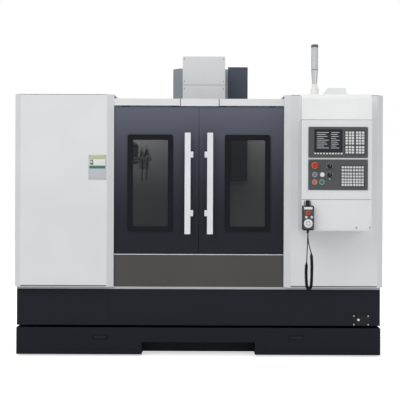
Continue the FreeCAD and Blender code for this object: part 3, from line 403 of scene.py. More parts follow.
class Piece:
    """A mesh piece that is built up from simple solids, then finished and put on a body."""

    def __init__(self, name: str, finish: Palette, body: str = "frame") -> None:
        """Start an empty piece.

        Args:
            name: name of the piece.
            finish: its finish.
            body: CAD body that it rides on.
        """
        self.name = name
        self.body = body
        self.finish = finish
        self.mesh = bmesh.new()

    def block(self, low: Point, high: Point, radius: float = 0.0, segments: int = 2) -> "Piece":
        """Add a box.

        Args:
            low, high: any two opposite corners.
            radius: of its rounded edges, or 0 for sharp ones.
            segments: how many faces each rounded edge has.

        Returns:
            The piece itself, so that calls can be chained.
        """
        low_corner, high_corner = corners_of(low, high)
        middle = (low_corner + high_corner) / 2
        span = high_corner - low_corner
        matrix = Matrix.Translation(middle) @ Matrix.Diagonal((*span, 1))
        made = bmesh.ops.create_cube(self.mesh, size=1, matrix=matrix)["verts"]
        if radius > 0:
            edges = {edge for vert in made for edge in vert.link_edges}
            offset = min(radius, min(span) * 0.49)
            bmesh.ops.bevel(
                self.mesh, geom=list(edges), offset=offset, segments=segments, affect="EDGES", profile=0.5
            )
        return self

    def turned(self, centre: Point, profile: Profile, axis: str = "z", steps: int = 48) -> "Piece":
        """Add a solid of revolution.

        Args:
            centre: where its axis starts.
            profile: pairs of radius and distance along the axis.
            axis: direction of its axis.
            steps: how many sides a full turn has.

        Returns:
            The piece itself.
        """
        turns = {
            "z": Matrix.Identity(4),
            "y": Matrix.Rotation(-math.pi / 2, 4, "X"),
            "x": Matrix.Rotation(math.pi / 2, 4, "Y"),
        }
        matrix = Matrix.Translation(centre) @ turns[axis]
        rings = []
        for radius, along in profile:
            if radius < 1e-6:
                rings.append([self.mesh.verts.new(matrix @ Vector((0, 0, along)))])
                continue
            ring = []
            for step in range(steps):
                angle = 2 * math.pi * step / steps
                spot = Vector((radius * math.cos(angle), radius * math.sin(angle), along))
                ring.append(self.mesh.verts.new(matrix @ spot))
            rings.append(ring)
        for lower, upper in zip(rings, rings[1:]):
            self.join_rings(lower, upper, steps)
        return self

    def join_rings(self, lower: list, upper: list, steps: int) -> None:
        """Fill the faces between two rings.

        Args:
            lower, upper: the rings' vertices; a ring of one vertex is a point.
            steps: how many sides a full turn has.
        """
        for step in range(steps):
            following = (step + 1) % steps
            if len(lower) == 1 and len(upper) == 1:
                return
            if len(lower) == 1:
                self.mesh.faces.new((lower[0], upper[following], upper[step]))
            elif len(upper) == 1:
                self.mesh.faces.new((lower[step], lower[following], upper[0]))
            else:
                self.mesh.faces.new((lower[step], lower[following], upper[following], upper[step]))

    def disc(self, centre: Point, radius: float, depth: float, axis: str = "y", rim: float = 0.0) -> "Piece":
        """Add a disc.

        Args:
            centre: the middle of its first face.
            radius: of the disc.
            depth: how far it goes along the axis, with a sign.
            axis: direction of its axis.
            rim: width of its bevelled edges.

        Returns:
            The piece itself.
        """
        rim = min(rim, radius * 0.4, abs(depth) * 0.4)
        sign = 1 if depth > 0 else -1
        near = [(0, 0), (radius - rim, 0), (radius, sign * rim)]
        far = [(radius, depth - sign * rim), (radius - rim, depth), (0, depth)]
        return self.turned(centre, near + far, axis)

    def ring(self, centre: Point, inner: float, outer: float, depth: float, axis: str = "y") -> "Piece":
        """Add a flat ring.

        Args:
            centre: the middle of its first face.
            inner, outer: its two radii.
            depth: how far it goes along the axis, with a sign.
            axis: direction of its axis.

        Returns:
            The piece itself.
        """
        profile = [(inner, 0), (outer, 0), (outer, depth), (inner, depth), (inner, 0)]
        return self.turned(centre, profile, axis)

    def frame(self, low: Point, high: Point, band: float) -> "Piece":
        """Add a rectangular frame in the XZ plane.

        Args:
            low, high: its outer corners.
            band: width of each side.

        Returns:
            The piece itself.
        """
        (x0, y0, z0), (x1, y1, z1) = low, high
        self.block((x0, y0, z0), (x1, y1, z0 + band))
        self.block((x0, y0, z1 - band), (x1, y1, z1))
        self.block((x0, y0, z0 + band), (x0 + band, y1, z1 - band))
        return self.block((x1 - band, y0, z0 + band), (x1, y1, z1 - band))

    def make(self) -> bpy.types.Object:
        """Finish the mesh, give it its material, put it on its body and return the object."""
        bmesh.ops.remove_doubles(self.mesh, verts=self.mesh.verts, dist=1e-6)
        bmesh.ops.recalc_face_normals(self.mesh, faces=self.mesh.faces)
        data = bpy.data.meshes.new(self.name)
        self.mesh.to_mesh(data)
        self.mesh.free()
        data.materials.append(self.finish.material)
        made = bpy.data.objects.new(self.name, data)
        bpy.context.scene.collection.objects.link(made)
        data.shade_smooth()
        data.set_sharp_from_angle(angle=SHARP_ANGLE)
        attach(made, self.body)
        log.info("piece %s on %s", self.name, self.body)
        return made


class Repeater:
    """Copies one small mesh to many places with a Geometry Nodes group, then keeps the plain mesh."""

    def __init__(self) -> None:
        """Build the node group once."""
        self.group = bpy.data.node_groups.get("repeat_piece") or self.build_group()

    @staticmethod
    def build_group() -> bpy.types.NodeTree:
        """Instance a mesh on points, realise the copies and set their material."""
        group = bpy.data.node_groups.new("repeat_piece", "GeometryNodeTree")
        for name, direction, kind in (
            ("Places", "INPUT", "Geometry"),
            ("Piece", "INPUT", "Object"),
            ("Finish", "INPUT", "Material"),
            ("Result", "OUTPUT", "Geometry"),
        ):
            group.interface.new_socket(name, in_out=direction, socket_type="NodeSocket" + kind)
        nodes = group.nodes
        start, end = nodes.new("NodeGroupInput"), nodes.new("NodeGroupOutput")
        info = nodes.new("GeometryNodeObjectInfo")
        copies = nodes.new("GeometryNodeInstanceOnPoints")
        real = nodes.new("GeometryNodeRealizeInstances")
        paint = nodes.new("GeometryNodeSetMaterial")
        for source, output, target, place in (
            (start, "Places", copies, "Points"),
            (start, "Piece", info, "Object"),
            (info, "Geometry", copies, "Instance"),
            (copies, "Instances", real, "Geometry"),
            (real, "Geometry", paint, "Geometry"),
            (start, "Finish", paint, "Material"),
            (paint, "Geometry", end, "Result"),
        ):
            group.links.new(source.outputs[output], target.inputs[place])
        return group

    def copy(
        self,
        name: str,
        finish: Palette,
        places: Iterable[Point],
        draw: Callable[[Piece], object],
        body: str = "frame",
    ) -> bpy.types.Object:
        """Put a copy of a small mesh at each place.

        Args:
            name: name of the piece that holds every copy.
            finish: its finish.
            places: where the copies go.
            draw: adds the small mesh, about the origin, to a Piece.
            body: CAD body that it rides on.

        Returns:
            The plain mesh object.
        """
        pattern = Piece(name + "_one", finish, body)
        draw(pattern)
        bmesh.ops.recalc_face_normals(pattern.mesh, faces=pattern.mesh.faces)
        one_mesh = bpy.data.meshes.new(name + "_one")
        pattern.mesh.to_mesh(one_mesh)
        pattern.mesh.free()
        one_mesh.shade_smooth()
        one_mesh.set_sharp_from_angle(angle=SHARP_ANGLE)
        one = bpy.data.objects.new(name + "_one", one_mesh)
        spots = bpy.data.meshes.new(name + "_spots")
        spots.from_pydata([tuple(place) for place in places], [], [])
        holder = bpy.data.objects.new(name + "_holder", spots)
        scene = bpy.context.scene.collection.objects
        scene.link(holder)
        modifier = holder.modifiers.new("repeat", "NODES")
        modifier.node_group = self.group
        inputs = [item for item in self.group.interface.items_tree if item.in_out == "INPUT"]
        sockets = {item.name: item.identifier for item in inputs}
        modifier[sockets["Piece"]] = one
        modifier[sockets["Finish"]] = finish.material
        graph = bpy.context.evaluated_depsgraph_get()
        result = bpy.data.meshes.new_from_object(holder.evaluated_get(graph))
        result.name = name
        made = bpy.data.objects.new(name, result)
        scene.link(made)
        bpy.data.objects.remove(holder)
        bpy.data.objects.remove(one)
        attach(made, body)
        log.info("repeated %s on %s", name, body)
        return made


def finish_node(node: str, finish: Palette, edge: float = 0.0, segments: int = 2) -> None:
    """Give a CAD node its finish, and round its edges.

    Args:
        node: name of the node.
        finish: its finish.
        edge: width of the bevel, in metres, or 0 for none.
        segments: how many faces the bevel has.
    """
    part = frame["nodes"][node]
    part.data.materials.clear()
    part.data.materials.append(finish.material)
    if edge > 0:
        weld = part.modifiers.new("weld", "WELD")
        weld.merge_threshold = 1e-5
        bevel = part.modifiers.new("edge", "BEVEL")
        bevel.width = edge
        bevel.segments = segments
        bevel.limit_method = "ANGLE"
        bevel.angle_limit = math.radians(40)
        bevel.use_clamp_overlap = True
        bevel.harden_normals = False


def finish_nodes(*rows: tuple) -> None:
    """Finish several CAD nodes.

    Args:
        rows: the arguments of finish_node for each, with the edge in millimetres.
    """
    for node, finish, *edge in rows:
        finish_node(node, finish, *(value if place else value * MM for place, value in enumerate(edge)))


def middle_of(node: str) -> tuple[float, float]:
    """The X and Z of the middle of a CAD node."""
    low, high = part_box(node)
    return (low.x + high.x) / 2, (low.z + high.z) / 2


def grid(low: Point, high: Point, counts: tuple[int, int, int]) -> list[Point]:
    """Evenly spaced places.

    Args:
        low, high: the first and last place.
        counts: how many places there are along X, Y and Z.

    Returns:
        The places.
    """
    places = []
    for i in range(counts[0]):
        for j in range(counts[1]):
            for k in range(counts[2]):
                shares = [n / (c - 1) if c > 1 else 0 for n, c in zip((i, j, k), counts)]
                places.append(tuple(a + (b - a) * share for a, b, share in zip(low, high, shares)))
    return places


def screw_head(radius: float, axis: str = "y", sign: int = -1) -> Callable[[Piece], object]:
    """A domed socket screw head with its recess.

    Args:
        radius: of the head.
        axis: direction of its axis.
        sign: which way along the axis it stands out.

    Returns:
        A function that draws it.
    """

    def draw(piece: Piece) -> object:
        """Draw it about the origin."""
        profile = [
            (radius, 0),
            (radius, 0.35 * radius),
            (0.8 * radius, 0.6 * radius),
            (0.45 * radius, 0.66 * radius),
            (0.45 * radius, 0.3 * radius),
            (0, 0.3 * radius),
        ]
        return piece.turned((0, 0, 0), [(r, sign * t) for r, t in profile], axis, 16)

    return draw


def flat_dot(radius: float, depth: float, axis: str = "y") -> Callable[[Piece], object]:
    """A flat dot.

    Args:
        radius: of the dot.
        depth: how far it stands out, with a sign.
        axis: direction of its axis.

    Returns:
        A function that draws it.
    """

    def draw(piece: Piece) -> object:
        """Draw it about the origin."""
        return piece.disc((0, 0, 0), radius, depth, axis)

    return draw


# ---------------------------------------------------------------- studio


@dataclass
class Studio:
    """Camera, lights and floor.

    Attributes:
        distance: from the doors' plane to the camera, in metres.
        eye: height of the camera.
        side: how far the camera stands to the right of the machine's middle.
        lens: focal length for a sensor 36 mm wide.
        roll: clockwise lean of the view, in degrees.
        shift: how the view is framed, as shares of its width.
    """

    distance: float = 6.5
    eye: float = 1.215
    side: float = 0.054
    lens: float = 79.6
    roll: float = 0.22
    shift: tuple[float, float] = (-0.0155, -0.0235)

    def build(self) -> None:
        """Set the camera, the light and the floor."""
        self.build_camera()
        self.build_lights()
        self.build_floor()

    def build_camera(self) -> None:
        """Place the camera in front of the doors, a little right of the middle."""
        data = bpy.data.cameras.new("camera")
        data.lens = self.lens
        data.sensor_width = 36
        data.shift_x, data.shift_y = self.shift
        data.clip_end = 60
        made = bpy.data.objects.new("camera", data)
        door_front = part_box("left_door")[0][1]
        made.location = (self.side, door_front - self.distance, self.eye)
        made.rotation_euler = (math.pi / 2, math.radians(-self.roll), 0)
        bpy.context.scene.collection.objects.link(made)
        bpy.context.scene.camera = made

    def build_lights(self) -> None:
        """A bright even surround, a large soft key from above and a front fill."""
        scene = bpy.context.scene
        scene.view_settings.view_transform = "Standard"
        world = bpy.data.worlds.new("studio")
        world.use_nodes = True
        nodes, links = world.node_tree.nodes, world.node_tree.links
        around = nodes["Background"]
        around.inputs["Color"].default_value = (1, 1, 1, 1)
        around.inputs["Strength"].default_value = 0.5
        backdrop = nodes.new("ShaderNodeBackground")
        backdrop.inputs["Color"].default_value = (1, 1, 1, 1)
        path, seen = nodes.new("ShaderNodeLightPath"), nodes.new("ShaderNodeMixShader")
        links.new(path.outputs["Is Camera Ray"], seen.inputs[0])
        links.new(around.outputs[0], seen.inputs[1])
        links.new(backdrop.outputs[0], seen.inputs[2])
        links.new(seen.outputs[0], nodes["World Output"].inputs["Surface"])
        scene.world = world
        self.add_light("key", (-2.6, -4.6, 4.6), (0, -0.9, 1.3), 3.6, 105)
        self.add_light("fill", (3.4, -5.2, 2.4), (0, -0.9, 1.2), 3.0, 45)
        self.add_light("top", (0, 0.2, 4.6), (0, 0, 0.8), 3.0, 45)
        self.add_light("rear", (1.0, 5.6, 4.0), (0, 0.6, 1.2), 3.6, 100)

    @staticmethod
    def add_light(name: str, place: Point, target: Point, size: float, power: float) -> None:
        """Add one square area light that faces a point.

        Args:
            name: name of the light.
            place: where it stands.
            target: the point that it faces.
            size: of its sides, in metres.
            power: in watts.
        """
        data = bpy.data.lights.new(name, "AREA")
        data.size = size
        data.energy = power
        made = bpy.data.objects.new(name, data)
        made.location = place
        made.rotation_euler = (Vector(target) - Vector(place)).to_track_quat("-Z", "Y").to_euler()
        bpy.context.scene.collection.objects.link(made)

    @staticmethod
    def build_floor() -> None:
        """A white floor, lifted a little for the camera so that it has no far edge."""
        mesh = bpy.data.meshes.new("floor")
        reach = 14.0
        corners = [(-reach, -reach, 0), (reach, -reach, 0), (reach, reach, 0), (-reach, reach, 0)]
        mesh.from_pydata(corners, [], [(0, 1, 2, 3)])
        mesh.materials.append(Palette.FLOOR.material)
        tree = Palette.FLOOR.material.node_tree
        nodes, links = tree.nodes, tree.links
        path, lift = nodes.new("ShaderNodeLightPath"), nodes.new("ShaderNodeMath")
        lift.operation = "MULTIPLY"
        lift.inputs[1].default_value = 0.6
        links.new(path.outputs["Is Camera Ray"], lift.inputs[0])
        links.new(lift.outputs["Value"], nodes["Principled BSDF"].inputs["Emission Strength"])
        nodes["Principled BSDF"].inputs["Emission Color"].default_value = (1, 1, 1, 1)
        floor = bpy.data.objects.new("floor", mesh)
        bpy.context.scene.collection.objects.link(floor)


# ---------------------------------------------------------------- cord


@dataclass
class PendantCord:
    """The pendant's cord: a straight lead, a curly part that hangs in a narrow U, and a lead up to the box.

    Attributes:
        lead, curl, back: route points in metres, the same as the solids they replace.
        radius: of the plain lead.
        curl_radius: of the coil's centre line.
        turns: how many turns the curly stretch has.
    """

    lead: tuple[Point, ...] = (
        (0.765, -1.2103, 0.921),
        (0.766, -1.2103, 0.890),
        (0.770, -1.209, 0.852),
        (0.780, -1.206, 0.815),
        (0.789, -1.203, 0.785),
    )
    curl: tuple[Point, ...] = (
        (0.789, -1.203, 0.785),
        (0.794, -1.201, 0.735),
        (0.795, -1.199, 0.660),
        (0.793, -1.198, 0.590),
        (0.790, -1.197, 0.531),
        (0.763, -1.179, 0.529),
        (0.759, -1.178, 0.580),
        (0.757, -1.177, 0.630),
        (0.758, -1.177, 0.680),
        (0.761, -1.177, 0.719),
    )
    back: tuple[Point, ...] = (
        (0.761, -1.177, 0.719),
        (0.763, -1.175, 0.760),
        (0.766, -1.167, 0.812),
        (0.770, -1.154, 0.868),
        (0.772, -1.146, 0.916),
    )
    radius: float = 0.0035
    curl_radius: float = 0.0084
    turns: int = 58

    def build(self) -> None:
        lead = self.make_curve("cord_lead_line", self.lead)
        back = self.make_curve("cord_return_line", self.back)
        middle = self.sample(self.curl)
        helix = self.helix(middle)
        curly = self.make_curve("curly_cord_line", helix)
        for piece, node in ((lead, "cord_lead"), (curly, "curly_cord"), (back, "cord_return")):
            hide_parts(node)
        for piece, points in ((lead, self.lead), (curly, helix), (back, self.back)):
            length = self.length(self.sample(points))
            log.info("%s %.3f m", piece.name, length)

    @staticmethod
    def line(name: str, points: Sequence[Point], resolution: int) -> bpy.types.Curve:
        """The data of one open smooth line through control points.

        Args:
            name: name of the data.
            points: its control points.
            resolution: how many steps there are between control points.

        Returns:
            The curve's data.
        """
        data = bpy.data.curves.new(name, "CURVE")
        data.dimensions = "3D"
        data.resolution_u = resolution
        spline = data.splines.new("NURBS")
        spline.points.add(len(points) - 1)
        for knot, place in zip(spline.points, points):
            knot.co = (*place, 1)
        spline.order_u = 3
        spline.use_endpoint_u = True
        return data

    def make_curve(self, name: str, points: Sequence[Point]) -> bpy.types.Object:
        """One open smooth line through control points, with the cord's thickness.

        Args:
            name: name of the piece.
            points: its control points.

        Returns:
            The curve object, which rides on the frame.
        """
        data = self.line(name, points, 6)
        data.bevel_depth = self.radius
        data.bevel_resolution = 3
        data.use_fill_caps = True
        data.materials.append(Palette.RUBBER.material)
        made = bpy.data.objects.new(name, data)
        bpy.context.scene.collection.objects.link(made)
        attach(made, "frame")
        return made

    @staticmethod
    def sample(points: Sequence[Point]) -> list[Vector]:
        """Points along the smooth line that has these control points.

        Args:
            points: the control points.

        Returns:
            The points along the line.
        """
        holder = bpy.data.objects.new("sample", PendantCord.line("sample", points, 12))
        bpy.context.scene.collection.objects.link(holder)
        graph = bpy.context.evaluated_depsgraph_get()
        mesh = bpy.data.meshes.new_from_object(holder.evaluated_get(graph))
        found = [vert.co.copy() for vert in mesh.vertices]
        bpy.data.objects.remove(holder)
        bpy.data.meshes.remove(mesh)
        return found

    @staticmethod
    def length(points: Sequence[Vector]) -> float:
        """Length of a line through points."""
        return sum((b - a).length for a, b in zip(points, points[1:]))

    def helix(self, middle: Sequence[Vector]) -> list[Point]:
        """Turns round a middle line, drawn in to the line at both ends.

        Args:
            middle: points along the middle line.

        Returns:
            The coil's control points.
        """
        total = self.length(middle)
        per_turn = 12
        count = self.turns * per_turn
        found = []
        side = Vector((0, 1, 0))
        for step in range(count + 1):
            share = step / count
            spot, along = self.at(middle, share * total)
            side = (side - along * side.dot(along)).normalized()
            across = along.cross(side)
            angle = 2 * math.pi * step / per_turn
            reach = self.curl_radius * min(1.0, share * 18, (1 - share) * 18)
            place = spot + (side * math.cos(angle) + across * math.sin(angle)) * reach
            found.append(tuple(place))
        return found

    @staticmethod
    def at(points: Sequence[Vector], distance: float) -> tuple[Vector, Vector]:
        """The place and direction at a distance along a line.

        Args:
            points: the line's points.
            distance: from its start, in metres.

        Returns:
            The place, and the direction there.
        """
        for a, b in zip(points, points[1:]):
            step = (b - a).length
            if step > 0 and distance <= step:
                return a + (b - a) * (distance / step), (b - a).normalized()
            distance -= step
        return points[-1], (points[-1] - points[-2]).normalized()


# ---------------------------------------------------------------- base and enclosure


@dataclass
class Base:
    """Tank, skirt, chip pan, feet and the castings on them.

    Attributes:
        edge: width of the rounded edges of folded sheet, in millimetres.
        repeat: copies small pieces to many places.
    """

    edge: float = 2.5
    repeat: Repeater = field(default_factory=Repeater)

    def build(self) -> None:
        """Finish the base's nodes and add its fittings."""
        finish_nodes(
            ("coolant_tank", Palette.TANK, self.edge),
            ("base_skirt", Palette.SKIRT, self.edge),
            ("chip_pan", Palette.LIP, self.edge),
            ("bed", Palette.CASTING, 4),
            ("levelling_feet", Palette.ZINC, 1.5),
            ("lower_front_panel", Palette.LOWER, self.edge),
        )
        self.add_tank_details()
        self.add_skirt_details()

    def add_tank_details(self) -> None:
        """Screws along the fascia, its rolled rim and two pull handles."""
        low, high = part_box("coolant_tank")
        level = high.z - 0.022
        screws = grid((low.x + 0.06, low.y, level), (high.x - 0.06, low.y, level), (12, 1, 1))
        self.repeat.copy("tank_screws", Palette.TANK, screws, screw_head(0.005), "coolant_tank")
        rim = Piece("tank_rim", Palette.TANK, "coolant_tank")
        foot = (low.x + 0.004, low.y + 0.0005, high.z - 0.012)
        rim.block(foot, (high.x - 0.004, low.y + 0.02, high.z - 0.004), 0.002)
        rim.make()
        handles = Piece("tank_handles", Palette.BLACK, "coolant_tank")
        for x in (-0.72, 0.72):
            handles.block((x - 0.06, low.y, 0.118), (x + 0.06, low.y + 0.006, 0.158), 0.004)
            handles.block((x - 0.045, low.y - 0.0006, 0.128), (x + 0.045, low.y + 0.004, 0.148), 0.003)
        handles.make()

    def add_skirt_details(self) -> None:
        """Folded seam lines on the front and rows of screws along the sides."""
        low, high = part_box("base_skirt")
        seam = Piece("skirt_seams", Palette.GASKET)
        for x in (-0.66, 0.66):
            foot = (x - 0.0012, low.y - 0.0004, low.z + 0.004)
            seam.block(foot, (x + 0.0012, low.y + 0.002, high.z - 0.004))
        seam.make()
        sides = grid((low.x, low.y + 0.08, high.z - 0.03), (low.x, high.y - 0.08, high.z - 0.03), (1, 8, 1))
        self.repeat.copy("skirt_screws_left", Palette.ZINC, sides, screw_head(0.006, "x", -1))
        others = [(high.x, y, z) for _, y, z in sides]
        self.repeat.copy("skirt_screws_right", Palette.ZINC, others, screw_head(0.006, "x", 1))


@dataclass
class Enclosure:
    """Cabinets, header, rear sheets, plates and duct."""

    repeat: Repeater = field(default_factory=Repeater)

    def build(self) -> None:
        """Finish the sheets and add seams, screws and plates."""
        finish_nodes(
            ("left_cabinet", Palette.WHITE, 1.4, 3),
            ("right_cabinet", Palette.WHITE, 1.4, 3),
            ("header", Palette.WHITE, 1.2),
            ("rear_panels", Palette.WHITE),
            ("cable_duct", Palette.WHITE_HOOD, 5, 3),
            ("cable_tray", Palette.TRAY, 2),
            ("plates", Palette.BLACK, 0.6),
        )
        self.add_seams()
        self.add_screws()
        self.add_label()
        self.add_foot_shadow_and_lip()
        self.add_plate_fixings()
        self.add_sill_line()
        self.add_lifting_caps()

    def add_seams(self) -> None:
        """Dark joints: beside the header's centre cover, along its foot over the door opening, and round the
        cabinets' lids.
        """
        seams = Piece("header_seams", Palette.GASKET)
        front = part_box("header")[0].y - 0.0003
        for x in (-0.136, 0.146):
            seams.block((x - 0.002, front, 1.836), (x + 0.002, front + 0.004, 1.888))
        seams.block((-DOOR_HALF, front + 0.003, 1.8355), (DOOR_HALF, front + 0.006, 1.838))
        seams.make()
        lids = Piece("lid_seams", Palette.GASKET)
        low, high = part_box("right_cabinet")
        for side in (-1, 1):
            lids.block((side * 0.672, low.y - 0.0004, high.z - 0.006), (side * 1.302, -0.93, high.z - 0.004))
        lids.make()

    def add_screws(self) -> None:
        """Rows of small screws on the lids and rear sheets, and the stiffening folds inside the sides."""
        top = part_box("left_cabinet")[1].z
        columns = (-0.68, -0.99, -1.30, 0.68, 1.30)
        lid_places = [(x, y, top) for x in columns for y in (-0.88, -0.63)]
        self.repeat.copy("lid_screws", Palette.ZINC, lid_places, screw_head(0.006, "z", 1))
        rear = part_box("rear_panels")[1].y
        columns = (-0.40, -0.86, -1.32, 0.40, 0.86, 1.32)
        rear_places = [(x, rear, z) for x in columns for z in (0.62, 1.05, 1.45, 1.84)]
        self.repeat.copy("rear_screws", Palette.ZINC, rear_places, screw_head(0.006, "y", 1))
        ribs = Piece("side_folds", Palette.WHITE)
        for side in (-1, 1):
            x = side * (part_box("right_cabinet")[1].x - 0.003)
            for y in (-0.42, 0.12):
                ribs.block((x, y - 0.02, 0.56), (x - side * 0.018, y + 0.02, 1.88), 0.003)
        ribs.make()

    def add_label(self) -> None:
        """The plain label plate on the left cabinet: fields of colour with no lettering."""
        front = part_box("left_cabinet")[0].y - 0.0022
        fields = (
            ("label_plate", Palette.LABEL_GREY, -0.8043, -0.6757, 1.2918, 1.4722),
            ("label_lime", Palette.LABEL_LIME, -0.798, -0.682, 1.443, 1.468),
            ("label_pale", Palette.TICK, -0.796, -0.684, 1.397, 1.440),
            ("label_mark", Palette.BLACK, -0.791, -0.771, 1.401, 1.437),
            ("label_eye", Palette.TICK, -0.787, -0.776, 1.412, 1.430),
            ("label_green", Palette.LABEL_GREEN, -0.798, -0.682, 1.373, 1.393),
            ("label_foot", Palette.LABEL_GREY, -0.792, -0.688, 1.300, 1.366),
        )
        for depth, (name, finish, left, right, low, high) in enumerate(fields):
            field_piece = Piece(name, finish)
            proud = 0.0002 + 0.0001 * depth
            field_piece.block((left, front - proud, low), (right, front + 0.001, high), 0.0001).make()
        rivets = [(x, front, z) for x in (-0.799, -0.681) for z in (1.297, 1.467)]
        self.repeat.copy("label_rivets", Palette.ZINC, rivets, screw_head(0.003))

    def add_foot_shadow_and_lip(self) -> None:
        """A painted shadow: a dark strip for the shaded gap between the cabinets and the pan's lip, and the
        bright lip below it.
        """
        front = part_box("left_cabinet")[0].y
        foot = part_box("left_cabinet")[0].z
        joint, lip = Piece("foot_joint", Palette.GASKET), Piece("foot_lip", Palette.LIP)
        for side in (-1, 1):
            near, far = side * 0.673, side * 1.300
            # painted shadow: this dark strip stands for the shade in the gap under the cabinets' fronts
            joint.block((near, front - 0.0004, foot + 0.009), (far, front + 0.001, foot + 0.014))
            lip.block((near, front - 0.0003, foot + 0.0005), (far, front + 0.001, foot + 0.009))
        joint.make()
        lip.make()

    def add_plate_fixings(self) -> None:
        """Bright screws on the skirt's plate, and a painted highlight on its key: a bright disc."""
        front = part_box("base_skirt")[0].y - 0.006
        dots = Piece("plate_screws", Palette.HANDLE)
        for x in (1.142, 1.247):
            for z in (0.235, 0.298):
                dots.disc((x, front, z), 0.0042, -0.0006)
        # painted highlight: the bright disc on the black key stands for its glint
        dots.disc((1.173, front - 0.014, 0.272), 0.0085, -0.0006)
        dots.make()

    def add_sill_line(self) -> None:
        """The bright wear strip on the door sill."""
        low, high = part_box("lower_front_panel")
        strip = Piece("sill_strip", Palette.HANDLE)
        foot = (-DOOR_HALF, low.y - 0.001, high.z - 0.0045)
        strip.block(foot, (DOOR_HALF, low.y + 0.006, high.z + 0.0004), 0.0005)
        strip.make()

    def add_lifting_caps(self) -> None:
        """Two capped lifting holes on the column's top."""
        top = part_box("column")[1].z
        caps = Piece("lifting_caps", Palette.ZINC)
        for x in (-0.13, 0.13):
            caps.disc((x, 0.82, top), 0.022, 0.008, "z", 0.002)
        caps.make()


@dataclass
class Door:
    """One sliding door with its window, gaskets and handle.

    Attributes:
        side: -1 for the left door, 1 for the right.
        name: name of the door's body and node.
    """

    side: int
    name: str

    def build(self) -> None:
        """Finish the door's nodes and add its gasket and ribs."""
        prefix = self.name.split("_")[0]
        finish_nodes(
            (self.name, Palette.DOOR, 2.5, 3),
            (prefix + "_window_frame", Palette.GASKET, 2, 3),
            (prefix + "_window", Palette.GLASS),
            (prefix + "_handle", Palette.HANDLE, 2.2, 3),
        )
        self.add_split_gasket()
        self.add_ribs()

    def add_split_gasket(self) -> None:
        """The soft lip down the door's meeting edge."""
        low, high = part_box(self.name)
        lip = Piece(self.name + "_lip", Palette.GASKET, self.name)
        near = (0.0004 * self.side, low.y + 0.004, low.z + 0.004)
        lip.block(near, (0.007 * self.side, low.y + 0.03, high.z - 0.034), 0.0008)
        lip.make()

    def add_ribs(self) -> None:
        """The two stiffening ribs inside."""
        low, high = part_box(self.name)
        ribs = Piece(self.name + "_ribs", Palette.DOOR, self.name)
        for x in (0.03, 0.56):
            foot = (self.side * x, high.y - 0.045, low.z + 0.02)
            ribs.block(foot, (self.side * (x + 0.03), high.y - 0.012, high.z - 0.1), 0.002)
        ribs.make()


# ---------------------------------------------------------------- operator side


